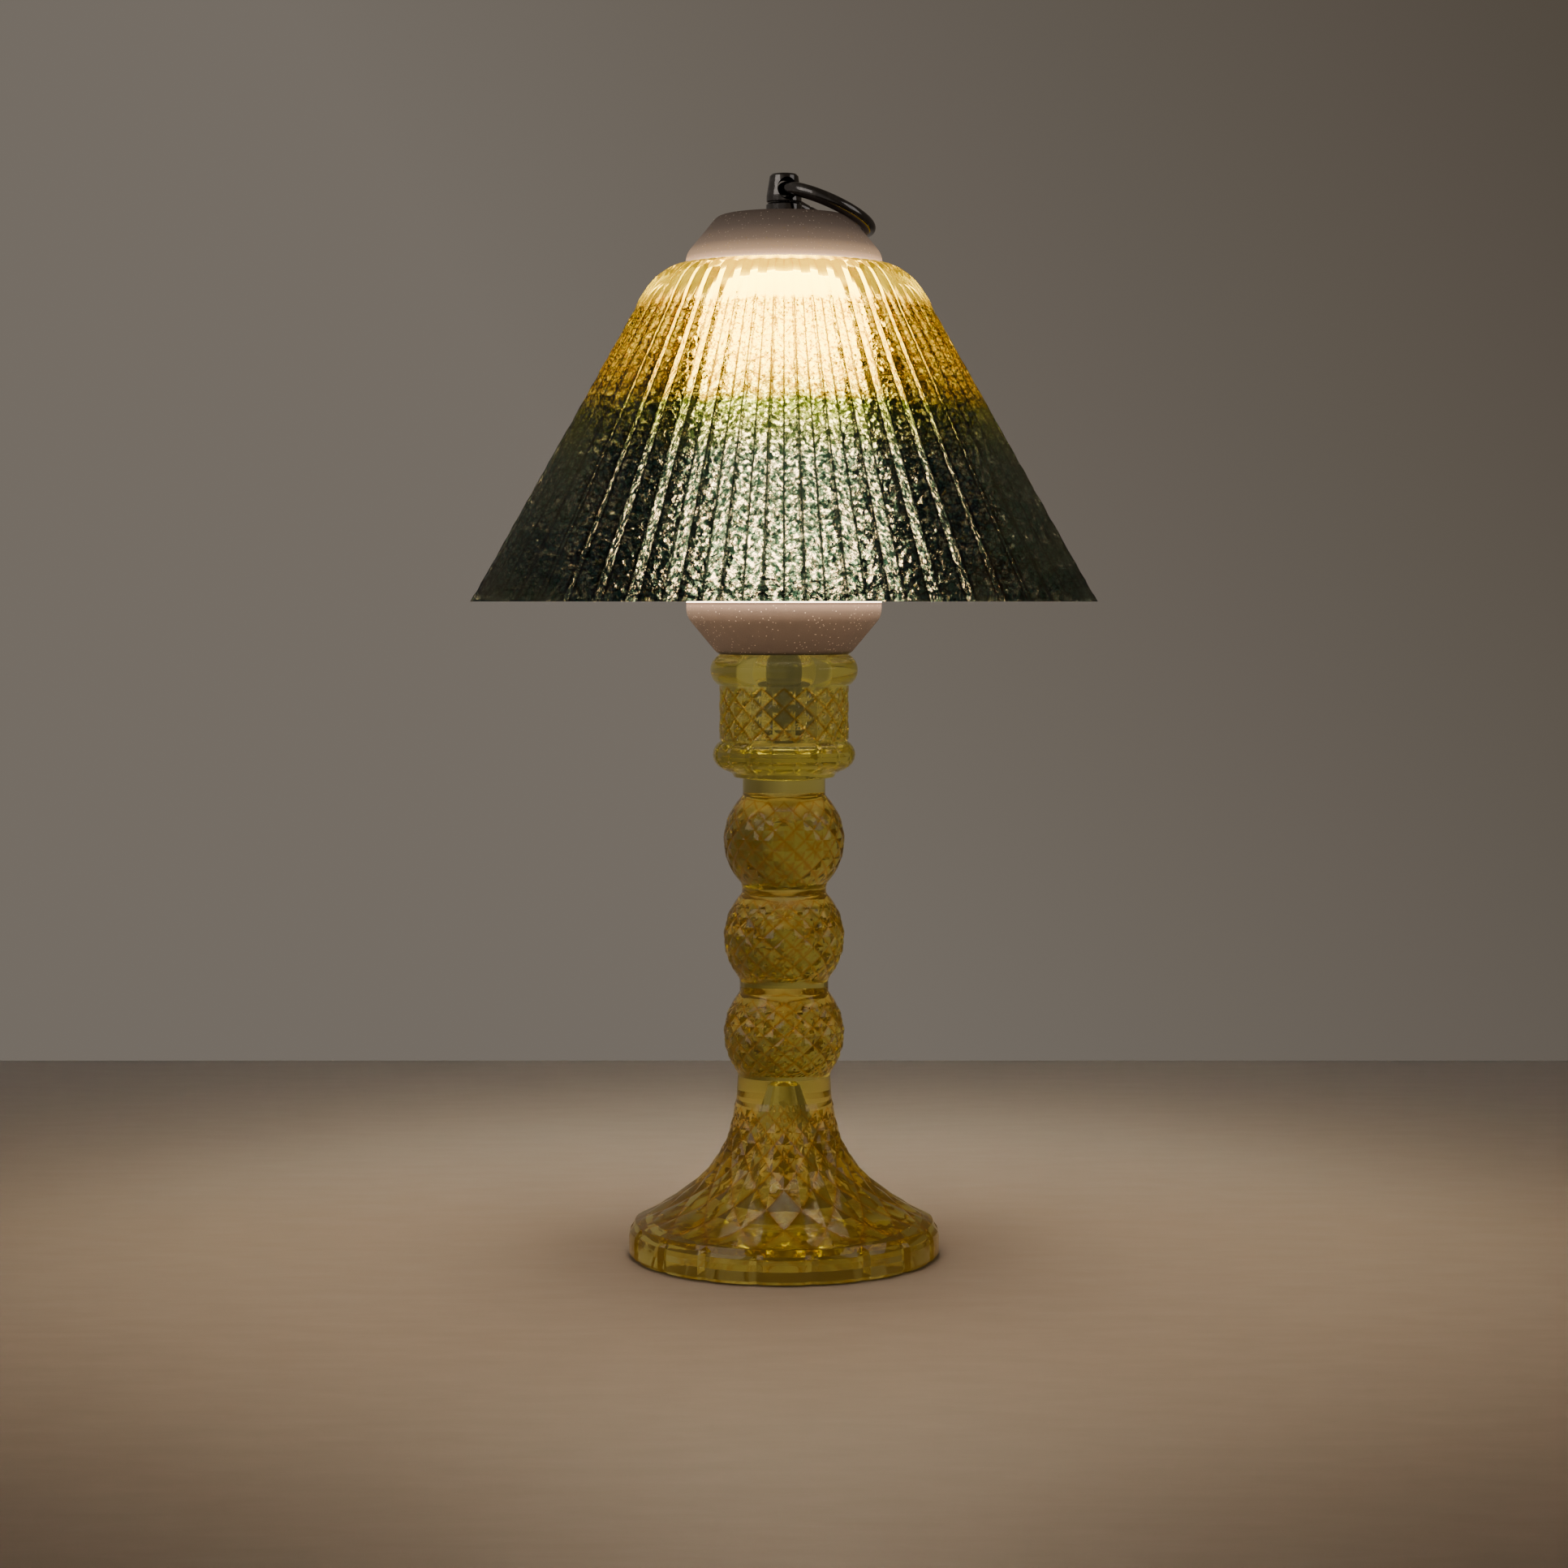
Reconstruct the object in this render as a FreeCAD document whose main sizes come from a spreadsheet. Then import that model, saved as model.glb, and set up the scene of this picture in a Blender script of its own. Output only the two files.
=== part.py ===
"""A small glowing table lamp: a pressed glass candlestick with three balls on its stem carries a
frosted light capsule, a pleated shade rests on a silicone ring round that capsule, and a metal
swivel with a hang ring closes its top.

Frame: millimetres, +Z up, origin at the centre of the foot's underside, front towards -Y.
"""
import FreeCAD
import Part
import math
import os
import re

import Sketcher

Vector = FreeCAD.Vector
doc = FreeCAD.newDocument("lamp")

# ---------------------------------------------------------------------------------------------
# Driving dimensions, in millimetres and degrees
# ---------------------------------------------------------------------------------------------
SIZES = {
    # foot of the candlestick
    "foot_rad": 19.3,
    "foot_edge": 0.4,
    "foot_rim_top": 3.1,
    "foot_lobes": 18,
    "lobe_notch": 0.45,
    "flare_low_rad": 18.5,
    "flare_low_z": 4.2,
    "flare_mid_rad": 14.4,
    "flare_mid_z": 6.7,
    "flare_low_curve": 16.75,
    "flare_top_rad": 8.15,
    "flare_top_z": 12.3,
    "flare_top_curve": 20.4,
    "flare_neck_z": 21.9,
    # hollow under the foot
    "hollow_mouth_rad": 16.2,
    "hollow_lip_rad": 15.2,
    "hollow_lip_z": 2.2,
    "hollow_mid_rad": 3.4,
    "hollow_mid_z": 12.0,
    "hollow_curve": 13.5,
    "hollow_tip_rad": 1.3,
    "hollow_tip_z": 22.0,
    # stem: three balls on necks that slim towards the top
    "ball_rad": 7.5,
    "low_ball_z": 27.5,
    "ball_pitch": 12.0,
    "neck_low_rad": 5.75,
    "neck_mid_rad": 5.5,
    "neck_high_rad": 5.2,
    "neck_top_rad": 5.1,
    # candle cup
    "cup_base_z": 59.2,
    "cup_floor_edge_rad": 7.4,
    "cup_floor_edge_z": 60.2,
    "low_bead_rad": 8.0,
    "low_bead_top_z": 64.0,
    "low_bead_curve": 2.3,
    "cup_wall_rad": 8.0,
    "cup_wall_top_z": 70.4,
    "rim_bead_curve": 2.25,
    "cup_top_z": 74.4,
    "cup_top_rad": 8.0,
    "cup_bore_rad": 3.9,
    "cup_bore_edge": 0.4,
    "cup_bore_floor_z": 63.4,
    # light capsule
    "capsule_rad": 12.0,
    "capsule_end_rad": 8.1,
    "capsule_base_z": 74.4,
    "capsule_cone": 4.7,
    "capsule_top_z": 127.8,
    "capsule_wall": 1.5,
    "capsule_edge": 0.7,
    "cap_skirt_z": 116.5,
    "lap_rad": 11.2,
    "lap_gap": 0.1,
    "board_seat_z": 119.4,
    "seat_ring_z": 120.35,
    "seat_ring_wire": 0.5,
    "seat_ring_rad": 12.1,
    # spigot, switch and power
    "spigot_rad": 2.25,
    "spigot_tip_z": 65.4,
    "spigot_bore_rad": 1.28,
    "spigot_flange_rad": 3.6,
    "spigot_flange": 0.8,
    "plunger_rad": 1.2,
    "plunger_tip_z": 64.8,
    "plunger_top_z": 77.2,
    "plunger_head": 0.45,
    "plunger_head_rad": 1.6,
    "switch_side": 5.0,
    "switch_z": 77.6,
    "switch_high": 2.0,
    "switch_stem_rad": 1.0,
    "switch_stem": 0.4,
    "switch_travel": 0.3,
    "switch_gap": 0.08,
    "board_thick": 0.8,
    "control_board_rad": 10.2,
    "control_board_z": 79.65,
    "holder_rad": 10.2,
    "holder_bore_rad": 8.15,
    "holder_high": 4.1,
    "cell_rad": 8.0,
    "cell_step_rad": 7.0,
    "cell_thick": 3.2,
    "cell_step": 0.35,
    "cell_z": 81.3,
    "contact_thick": 0.2,
    "contact_wide": 3.0,
    "contact_foot_reach": 4.5,
    "contact_bend_reach": 2.5,
    "contact_touch_reach": 1.2,
    "clip_foot_reach": 8.6,
    "clip_bend_reach": 6.2,
    "clip_touch_reach": 3.0,
    "clip_wide": 4.5,
    "lead_rad": 0.4,
    "lead_hole_rad": 0.55,
    "lead_centre": 9.2,
    # light engine
    "led_board_rad": 11.1,
    "led_count": 8,
    "led_circle_rad": 6.6,
    "led_long": 3.5,
    "led_wide": 2.8,
    "led_high": 0.75,
    "chip_side": 3.0,
    "chip_high": 1.1,
    "chip_x": 4.0,
    "chip_y": 2.5,
    "small_part_long": 2.0,
    "small_part_wide": 1.25,
    "small_part_x": 4.6,
    "resistor_high": 0.6,
    "resistor_y": 2.0,
    "capacitor_high": 0.9,
    "capacitor_y": 2.2,
    # swivel and hang ring
    "base_rad": 2.2,
    "base_top_z": 129.35,
    "base_edge": 0.2,
    "stud_rad": 1.25,
    "stud_bore_rad": 0.7,
    "stud_tip_z": 122.6,
    "pin_rad": 0.6,
    "pin_foot_rad": 1.1,
    "pin_foot": 0.5,
    "washer_rad": 2.9,
    "washer_thick": 0.4,
    "nut_flats": 4.5,
    "nut_high": 1.8,
    "head_gap": 0.1,
    "head_rad": 2.15,
    "head_band_z": 130.25,
    "head_top_rad": 1.75,
    "head_top_z": 132.9,
    "head_edge": 0.25,
    "eye_z": 131.1,
    "eye_gap": 0.1,
    "ring_rad": 5.75,
    "ring_wire": 0.85,
    "ring_droop": 24.0,
    "ring_heading": 14.0,
    # pleated shade
    "pleats": 50,
    "valley_share": 0.966,
    "shade_low_rad": 38.45,
    "shade_low_z": 80.9,
    "shade_break_rad": 18.0,
    "shade_break_z": 117.0,
    "shade_shoulder_rad": 16.8,
    "shade_shoulder_z": 119.0,
    "shade_brow_rad": 15.2,
    "shade_brow_z": 120.7,
    "shade_lip_rad": 13.5,
    "shade_lip_z": 121.7,
    "shade_hole_rad": 12.2,
    "shade_wall": 0.8,
    "inner_fold": 0.5,
}

sheet = doc.addObject("Spreadsheet::Sheet", "Sizes")
for row, (alias, value) in enumerate(SIZES.items(), start=1):
    sheet.set(f"A{row}", alias)
    sheet.set(f"B{row}", str(value))
    sheet.setAlias(f"B{row}", alias)
doc.recompute()

ALIAS = re.compile(r"\b(" + "|".join(sorted(SIZES, key=len, reverse=True)) + r")\b")


def bound(rule):
    """A rule written with size names, as an expression on the spreadsheet's cells."""
    return ALIAS.sub(r"Sizes.\1", rule)


def size(rule):
    """The number that a rule gives now."""
    return float(sheet.evalExpression(bound(rule)))


# ---------------------------------------------------------------------------------------------
# Ways of building a sub-part
# ---------------------------------------------------------------------------------------------
NODES = []


def keep(piece, label):
    """Names a finished sub-part and puts it on the list of parts to write."""
    piece.Label = label
    NODES.append(piece)
    return piece


def origin_plane(body, role):
    """One of a body's own origin planes, such as XZ_Plane."""
    return next(f for f in body.Origin.OriginFeatures if f.Role == role)


def new_sketch(body, name, role="XZ_Plane"):
    """An empty sketch on one of the body's origin planes."""
    sketch = body.newObject("Sketcher::SketchObject", name)
    sketch.AttachmentSupport = (origin_plane(body, role), [""])
    sketch.MapMode = "FlatFace"
    return sketch


def arc_middle(start, end, radius, side):
    """The middle point of the short arc from start to end. Side +1 bulges to the left of the way."""
    chord = end.sub(start)
    half = chord.Length / 2
    rise = radius - math.sqrt(max(radius * radius - half * half, 0.0))
    left = Vector(-chord.y, chord.x, 0).normalize()
    return start.add(end).multiply(0.5).add(left.multiply(side * rise))


def draw_outline(sketch, corners):
    """Draws a closed outline. Each corner is (x rule, y rule), and a third item (radius rule, side)
    makes the edge that leaves it an arc. Every corner and radius is bound to the spreadsheet."""
    points = [Vector(size(c[0]), size(c[1]), 0) for c in corners]
    ends = []
    for i, corner in enumerate(corners):
        start, end = points[i], points[(i + 1) % len(points)]
        if len(corner) == 2:
            edge = sketch.addGeometry(Part.LineSegment(start, end))
            ends.append((edge, 1, 2))
            continue
        rule, side = corner[2]
        middle = arc_middle(start, end, size(rule), side)
        edge = sketch.addGeometry(Part.Arc(start, middle, end))
        forward = sketch.getPoint(edge, 1).distanceToPoint(start) < 1e-6
        ends.append((edge, 1, 2) if forward else (edge, 2, 1))
        mark = sketch.addConstraint(Sketcher.Constraint("Radius", edge, size(rule)))
        sketch.setExpression(f"Constraints[{mark}]", bound(rule))
    for i, corner in enumerate(corners):
        edge, first, last = ends[i]
        following = ends[(i + 1) % len(ends)]
        sketch.addConstraint(Sketcher.Constraint("Coincident", edge, last, following[0], following[1]))
        for kind, rule, axis in (("DistanceX", corner[0], -2), ("DistanceY", corner[1], -1)):
            value = size(rule)
            if abs(value) < 1e-9:
                sketch.addConstraint(Sketcher.Constraint("PointOnObject", edge, first, axis))
                continue
            mark = sketch.addConstraint(Sketcher.Constraint(kind, -1, 1, edge, first, value))
            sketch.setExpression(f"Constraints[{mark}]", bound(rule))


def turn(body, name, corners, kind="Revolution", about="V_Axis"):
    """A Revolution or Groove of an outline on the XZ plane, about a sketch axis."""
    sketch = new_sketch(body, f"{name}_outline")
    draw_outline(sketch, corners)
    feature = body.newObject(f"PartDesign::{kind}", name)
    feature.Profile = sketch
    feature.ReferenceAxis = (sketch, [about])
    feature.Angle = 360
    doc.recompute()
    return feature


def turned_part(label, corners):
    """A PartDesign body that is one turned profile."""
    body = doc.addObject("PartDesign::Body", label)
    turn(body, f"{label}_turning", corners)
    return keep(body, label)


def bind(piece, **rules):
    """Binds properties of a Part primitive to the spreadsheet."""
    for name, rule in rules.items():
        piece.setExpression(name, bound(rule))
    return piece


def at(piece, x="0", y="0", z="0"):
    """Binds a primitive's place to the spreadsheet."""
    for name, rule in (("x", x), ("y", y), ("z", z)):
        piece.setExpression(f".Placement.Base.{name}", bound(rule))
    return piece


def box(name, long, wide, high, x="0", y="0", z="0"):
    """A box centred on its x and y, standing on its z."""
    piece = bind(doc.addObject("Part::Box", name), Length=long, Width=wide, Height=high)
    return at(piece, f"{x} - ({long}) / 2", f"{y} - ({wide}) / 2", z)


def cylinder(name, rad, high, x="0", y="0", z="0"):
    """An upright cylinder standing on its z."""
    return at(bind(doc.addObject("Part::Cylinder", name), Radius=rad, Height=high), x, y, z)


def cut(name, base, *tools):
    """Base with each tool taken away."""
    for i, tool in enumerate(tools):
        step = doc.addObject("Part::Cut", name if i == len(tools) - 1 else f"{name}_step{i}")
        step.Base = base
        step.Tool = tool
        base = step
    return base


def group(name, pieces):
    """Several separate solids in one node."""
    whole = doc.addObject("Part::Compound", name)
    whole.Links = list(pieces)
    return whole


# ---------------------------------------------------------------------------------------------
# Candlestick: pressed in one piece, with a scalloped foot that is hollow underneath
# ---------------------------------------------------------------------------------------------
def ball_corners():
    """The three balls of the stem, from the lowest up, with the neck under and over each."""
    necks = ("neck_low_rad", "neck_mid_rad", "neck_high_rad", "neck_top_rad")
    corners = []
    for i in range(3):
        centre = f"low_ball_z + {i} * ball_pitch"
        under = f"{centre} - sqrt(ball_rad^2 - {necks[i]}^2)"
        over = f"{centre} + sqrt(ball_rad^2 - {necks[i + 1]}^2)"
        corners.append((necks[i], under, ("ball_rad", -1)))
        corners.append((necks[i + 1], over))
    return corners


def make_candlestick():
    body = doc.addObject("PartDesign::Body", "candlestick")
    turn(body, "stick_turning", [
        ("0", "0"),
        ("foot_rad - foot_edge", "0"),
        ("foot_rad", "foot_edge"),
        ("foot_rad", "foot_rim_top"),
        ("flare_low_rad", "flare_low_z"),
        ("flare_mid_rad", "flare_mid_z", ("flare_low_curve", 1)),
        ("flare_top_rad", "flare_top_z", ("flare_top_curve", 1)),
        ("neck_low_rad", "flare_neck_z"),
        *ball_corners(),
        ("neck_top_rad", "cup_base_z"),
        ("cup_floor_edge_rad", "cup_floor_edge_z", ("low_bead_curve", -1)),
        ("low_bead_rad", "low_bead_top_z"),
        ("cup_wall_rad", "cup_wall_top_z", ("rim_bead_curve", -1)),
        ("cup_top_rad", "cup_top_z"),
        ("cup_bore_rad + cup_bore_edge", "cup_top_z"),
        ("cup_bore_rad", "cup_top_z - cup_bore_edge"),
        ("cup_bore_rad", "cup_bore_floor_z"),
        ("0", "cup_bore_floor_z"),
    ])
    solid = body.Shape.Volume
    turn(body, "foot_hollow", [
        ("0", "0"),
        ("hollow_mouth_rad", "0"),
        ("hollow_lip_rad", "hollow_lip_z", ("hollow_curve", 1)),
        ("hollow_mid_rad", "hollow_mid_z"),
        ("hollow_tip_rad", "hollow_tip_z - hollow_tip_rad / 2"),
        ("0", "hollow_tip_z"),
    ], kind="Groove")
    hollowed = body.Shape.Volume
    notch = new_sketch(body, "lobe_notch_outline", "XY_Plane")
    draw_outline(notch, [
        ("foot_rad - lobe_notch", "0"),
        ("foot_rad + lobe_notch", "-2 * lobe_notch"),
        ("foot_rad + lobe_notch", "2 * lobe_notch"),
    ])
    pocket = body.newObject("PartDesign::Pocket", "lobe_notch_cut")
    pocket.Profile = notch
    pocket.setExpression("Length", bound("flare_low_z"))
    pocket.Reversed = True
    doc.recompute()
    ring = body.newObject("PartDesign::PolarPattern", "lobe_notches")
    ring.Originals = [pocket]
    ring.Axis = (notch, ["N_Axis"])
    ring.Angle = 360
    ring.setExpression("Occurrences", bound("foot_lobes"))
    body.Tip = ring
    doc.recompute()
    print(f"candlestick volume {solid:.0f}, hollowed {hollowed:.0f}, notched {body.Shape.Volume:.0f}")
    return keep(body, "candlestick")


# ---------------------------------------------------------------------------------------------
# Light capsule: a frosted shell and cap, lapped together behind the shade's collar
# ---------------------------------------------------------------------------------------------
def make_capsule_shell():
    return turned_part("capsule_shell", [
        ("spigot_rad + lap_gap / 2", "capsule_base_z"),
        ("capsule_end_rad - capsule_edge", "capsule_base_z"),
        ("capsule_end_rad", "capsule_base_z + capsule_edge"),
        ("capsule_rad - capsule_edge / 2", "capsule_base_z + capsule_cone - capsule_edge / 2"),
        ("capsule_rad", "capsule_base_z + capsule_cone + capsule_edge"),
        ("capsule_rad", "cap_skirt_z"),
        ("lap_rad", "cap_skirt_z"),
        ("lap_rad", "board_seat_z"),
        ("capsule_rad - capsule_wall", "board_seat_z"),
        ("capsule_rad - capsule_wall", "control_board_z"),
        ("capsule_end_rad - capsule_wall", "capsule_base_z + capsule_wall"),
        ("spigot_rad + lap_gap / 2", "capsule_base_z + capsule_wall"),
    ])


def make_capsule_cap():
    body = doc.addObject("PartDesign::Body", "capsule_cap")
    turn(body, "cap_turning", [
        ("lap_rad + lap_gap", "cap_skirt_z"),
        ("capsule_rad", "cap_skirt_z"),
        ("capsule_rad", "capsule_top_z - capsule_cone - capsule_edge"),
        ("capsule_rad - capsule_edge / 2", "capsule_top_z - capsule_cone + capsule_edge / 2"),
        ("capsule_end_rad", "capsule_top_z - capsule_edge"),
        ("capsule_end_rad - capsule_edge", "capsule_top_z"),
        ("stud_rad + lap_gap / 2", "capsule_top_z"),
        ("stud_rad + lap_gap / 2", "capsule_top_z - capsule_wall"),
        ("capsule_end_rad - capsule_wall", "capsule_top_z - capsule_wall"),
        ("capsule_rad - capsule_wall", "capsule_top_z - capsule_cone"),
        ("capsule_rad - capsule_wall", "board_seat_z + board_thick"),
        ("lap_rad + lap_gap", "board_seat_z + board_thick"),
    ])
    # the half-round groove that the silicone seat ring lies in
    turn(body, "seat_groove", [
        ("seat_ring_rad", "seat_ring_z - seat_ring_wire", ("seat_ring_wire", 1)),
        ("seat_ring_rad - seat_ring_wire", "seat_ring_z", ("seat_ring_wire", 1)),
        ("seat_ring_rad", "seat_ring_z + seat_ring_wire"),
    ], kind="Groove")
    return keep(body, "capsule_cap")


def make_seat_ring():
    ring = bind(doc.addObject("Part::Torus", "shade_seat_ring"), Radius1="seat_ring_rad", Radius2="seat_ring_wire")
    return keep(at(ring, z="seat_ring_z"), "shade_seat_ring")


# ---------------------------------------------------------------------------------------------
# Spigot, switch, cell and leads in the foot of the capsule
# ---------------------------------------------------------------------------------------------
def make_spigot():
    return turned_part("spigot", [
        ("spigot_bore_rad", "spigot_tip_z"),
        ("spigot_rad - lap_gap * 3", "spigot_tip_z"),
        ("spigot_rad", "spigot_tip_z + lap_gap * 3"),
        ("spigot_rad", "capsule_base_z + capsule_wall"),
        ("spigot_flange_rad", "capsule_base_z + capsule_wall"),
        ("spigot_flange_rad", "capsule_base_z + capsule_wall + spigot_flange"),
        ("spigot_bore_rad", "capsule_base_z + capsule_wall + spigot_flange"),
    ])


def make_switch_plunger():
    return turned_part("switch_plunger", [
        ("0", "plunger_tip_z"),
        ("plunger_rad - lap_gap * 2", "plunger_tip_z"),
        ("plunger_rad", "plunger_tip_z + lap_gap * 2"),
        ("plunger_rad", "plunger_top_z - plunger_head"),
        ("plunger_head_rad", "plunger_top_z - plunger_head"),
        ("plunger_head_rad", "plunger_top_z"),
        ("0", "plunger_top_z"),
    ])


def make_switch_stem():
    stem = cylinder("stem_pin", "switch_stem_rad", "switch_stem * 2", z="plunger_top_z")
    return keep(stem, "switch_stem")


def make_tact_switch():
    """The switch's case, with a blind well that leaves the stem room for its travel."""
    case = box("switch_case", "switch_side", "switch_side", "switch_high", z="switch_z")
    well = cylinder("stem_well", "switch_stem_rad + switch_gap",
                    "switch_stem * 2 + switch_travel + switch_gap", z="plunger_top_z")
    return keep(cut("tact_switch", case, well), "tact_switch")


def lead_places():
    """Where the two leads stand, left and right of the cell."""
    return (("positive", "lead_centre"), ("negative", "-lead_centre"))


def make_control_board():
    disc = cylinder("control_disc", "control_board_rad", "board_thick", z="control_board_z")
    return keep(disc, "control_board")


def make_cell_holder():
    floor = "control_board_z + board_thick"
    ring = cylinder("holder_ring", "holder_rad", "holder_high", z=floor)
    bore = cylinder("holder_bore", "holder_bore_rad", "holder_high + 2", z=f"{floor} - 1")
    holes = [cylinder(f"holder_{side}_hole", "lead_hole_rad", "holder_high + 2", x=x, z=f"{floor} - 1")
             for side, x in lead_places()]
    return keep(cut("cell_holder", ring, bore, *holes), "cell_holder")


def make_coin_cell():
    return turned_part("coin_cell", [
        ("0", "cell_z"),
        ("cell_step_rad", "cell_z"),
        ("cell_step_rad", "cell_z + cell_step"),
        ("cell_rad", "cell_z + cell_step"),
        ("cell_rad", "cell_z + cell_thick"),
        ("0", "cell_z + cell_thick"),
    ])


def strip_part(label, corners, wide):
    """A bent metal strip: an outline on the XZ plane, padded to both sides."""
    body = doc.addObject("PartDesign::Body", label)
    outline = new_sketch(body, f"{label}_outline")
    draw_outline(outline, corners)
    pad = body.newObject("PartDesign::Pad", f"{label}_pad")
    pad.Profile = outline
    pad.setExpression("Length", bound(wide))
    pad.Midplane = True
    doc.recompute()
    return keep(body, label)


def make_negative_contact():
    board = "control_board_z + board_thick"
    return strip_part("negative_contact", [
        ("-contact_foot_reach", board),
        ("-contact_bend_reach", board),
        ("-contact_touch_reach", "cell_z - contact_thick"),
        ("contact_touch_reach", "cell_z - contact_thick"),
        ("contact_bend_reach", board),
        ("contact_foot_reach", board),
        ("contact_foot_reach", f"{board} + contact_thick"),
        ("contact_bend_reach + contact_thick / 2", f"{board} + contact_thick"),
        ("contact_touch_reach", "cell_z"),
        ("-contact_touch_reach", "cell_z"),
        ("-contact_bend_reach - contact_thick / 2", f"{board} + contact_thick"),
        ("-contact_foot_reach", f"{board} + contact_thick"),
    ], "contact_wide")


def make_positive_clip():
    top = "control_board_z + board_thick + holder_high"
    return strip_part("positive_clip", [
        ("-clip_foot_reach", top),
        ("-clip_bend_reach", top),
        ("-clip_touch_reach", "cell_z + cell_thick"),
        ("clip_touch_reach", "cell_z + cell_thick"),
        ("clip_bend_reach", top),
        ("clip_foot_reach", top),
        ("clip_foot_reach", f"{top} + contact_thick"),
        ("clip_bend_reach - contact_thick / 2", f"{top} + contact_thick"),
        ("clip_touch_reach - contact_thick / 2", "cell_z + cell_thick + contact_thick"),
        ("-clip_touch_reach + contact_thick / 2", "cell_z + cell_thick + contact_thick"),
        ("-clip_bend_reach + contact_thick / 2", f"{top} + contact_thick"),
        ("-clip_foot_reach", f"{top} + contact_thick"),
    ], "clip_wide")


def make_leads():
    foot = "control_board_z + board_thick"
    for side, x in lead_places():
        wire = cylinder(f"lead_{side}", "lead_rad", f"board_seat_z - ({foot})", x=x, z=foot)
        keep(wire, f"lead_wire_{side}")


# ---------------------------------------------------------------------------------------------
# Light engine under the cap
# ---------------------------------------------------------------------------------------------
def make_led_board():
    disc = cylinder("led_disc", "led_board_rad", "board_thick - lap_gap / 2", z="board_seat_z")
    return keep(disc, "led_board")


def make_leds():
    lamps = []
    for i in range(int(size("led_count"))):
        lamp = bind(doc.addObject("Part::Box", f"led_{i}"), Length="led_long", Width="led_wide", Height="led_high")
        turn_deg = f"({i} + 0.5) * 360 / led_count"
        reach = "(led_circle_rad - led_long / 2)"
        lamp.Placement = FreeCAD.Placement(Vector(), FreeCAD.Rotation(Vector(0, 0, 1), size(turn_deg)))
        lamp.setExpression(".Placement.Rotation.Angle", bound(f"{turn_deg} * 1 deg"))
        at(lamp,
           f"{reach} * cos({turn_deg}) + led_wide / 2 * sin({turn_deg})",
           f"{reach} * sin({turn_deg}) - led_wide / 2 * cos({turn_deg})",
           "board_seat_z - led_high")
        lamps.append(lamp)
    return keep(group("leds", lamps), "leds")


def make_driver_components():
    top = "board_seat_z + board_thick"
    parts = [
        box("driver_chip", "chip_side", "chip_side", "chip_high", x="chip_x", y="chip_y", z=top),
        box("limit_resistor", "small_part_long", "small_part_wide", "resistor_high",
            x="-small_part_x", y="resistor_y", z=top),
        box("smoothing_capacitor", "small_part_long", "small_part_wide", "capacitor_high",
            x="-small_part_x", y="-capacitor_y", z=top),
    ]
    return keep(group("driver_components", parts), "driver_components")


# ---------------------------------------------------------------------------------------------
# Swivel and hang ring on the top of the capsule
# ---------------------------------------------------------------------------------------------
def make_swivel_base():
    return turned_part("swivel_base", [
        ("stud_bore_rad", "stud_tip_z"),
        ("stud_rad", "stud_tip_z"),
        ("stud_rad", "capsule_top_z"),
        ("base_rad", "capsule_top_z"),
        ("base_rad", "base_top_z - base_edge"),
        ("base_rad - base_edge", "base_top_z"),
        ("stud_bore_rad", "base_top_z"),
    ])


def make_swivel_washer():
    low = "capsule_top_z - capsule_wall - washer_thick"
    disc = cylinder("washer_disc", "washer_rad", "washer_thick", z=low)
    hole = cylinder("washer_hole", "stud_rad + lap_gap / 2", "washer_thick + 1", z=f"{low} - 0.5")
    return keep(cut("swivel_washer", disc, hole), "swivel_washer")


def make_swivel_nut():
    low = "capsule_top_z - capsule_wall - washer_thick - nut_high"
    blank = bind(doc.addObject("Part::Prism", "nut_blank"), Circumradius="nut_flats / 2 / cos(30)", Height="nut_high")
    blank.Polygon = 6
    at(blank, z=low)
    hole = cylinder("nut_hole", "stud_rad", "nut_high + 1", z=f"{low} - 0.5")
    return keep(cut("swivel_nut", blank, hole), "swivel_nut")


def make_swivel_pin():
    """The rivet that holds the head down and lets it turn, with its foot spread under the stud."""
    return turned_part("swivel_pin", [
        ("0", "stud_tip_z - lap_gap - pin_foot"),
        ("pin_foot_rad", "stud_tip_z - lap_gap - pin_foot"),
        ("pin_foot_rad", "stud_tip_z - lap_gap"),
        ("pin_rad", "stud_tip_z - lap_gap"),
        ("pin_rad", "base_top_z + head_gap"),
        ("0", "base_top_z + head_gap"),
    ])


def face_ring_heading(piece):
    """Turns a piece about the lamp's axis to the way the hang ring points."""
    piece.Placement = FreeCAD.Placement(Vector(), FreeCAD.Rotation(Vector(0, 0, 1), size("ring_heading")))
    piece.setExpression(".Placement.Rotation.Angle", bound("ring_heading * 1 deg"))


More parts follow.
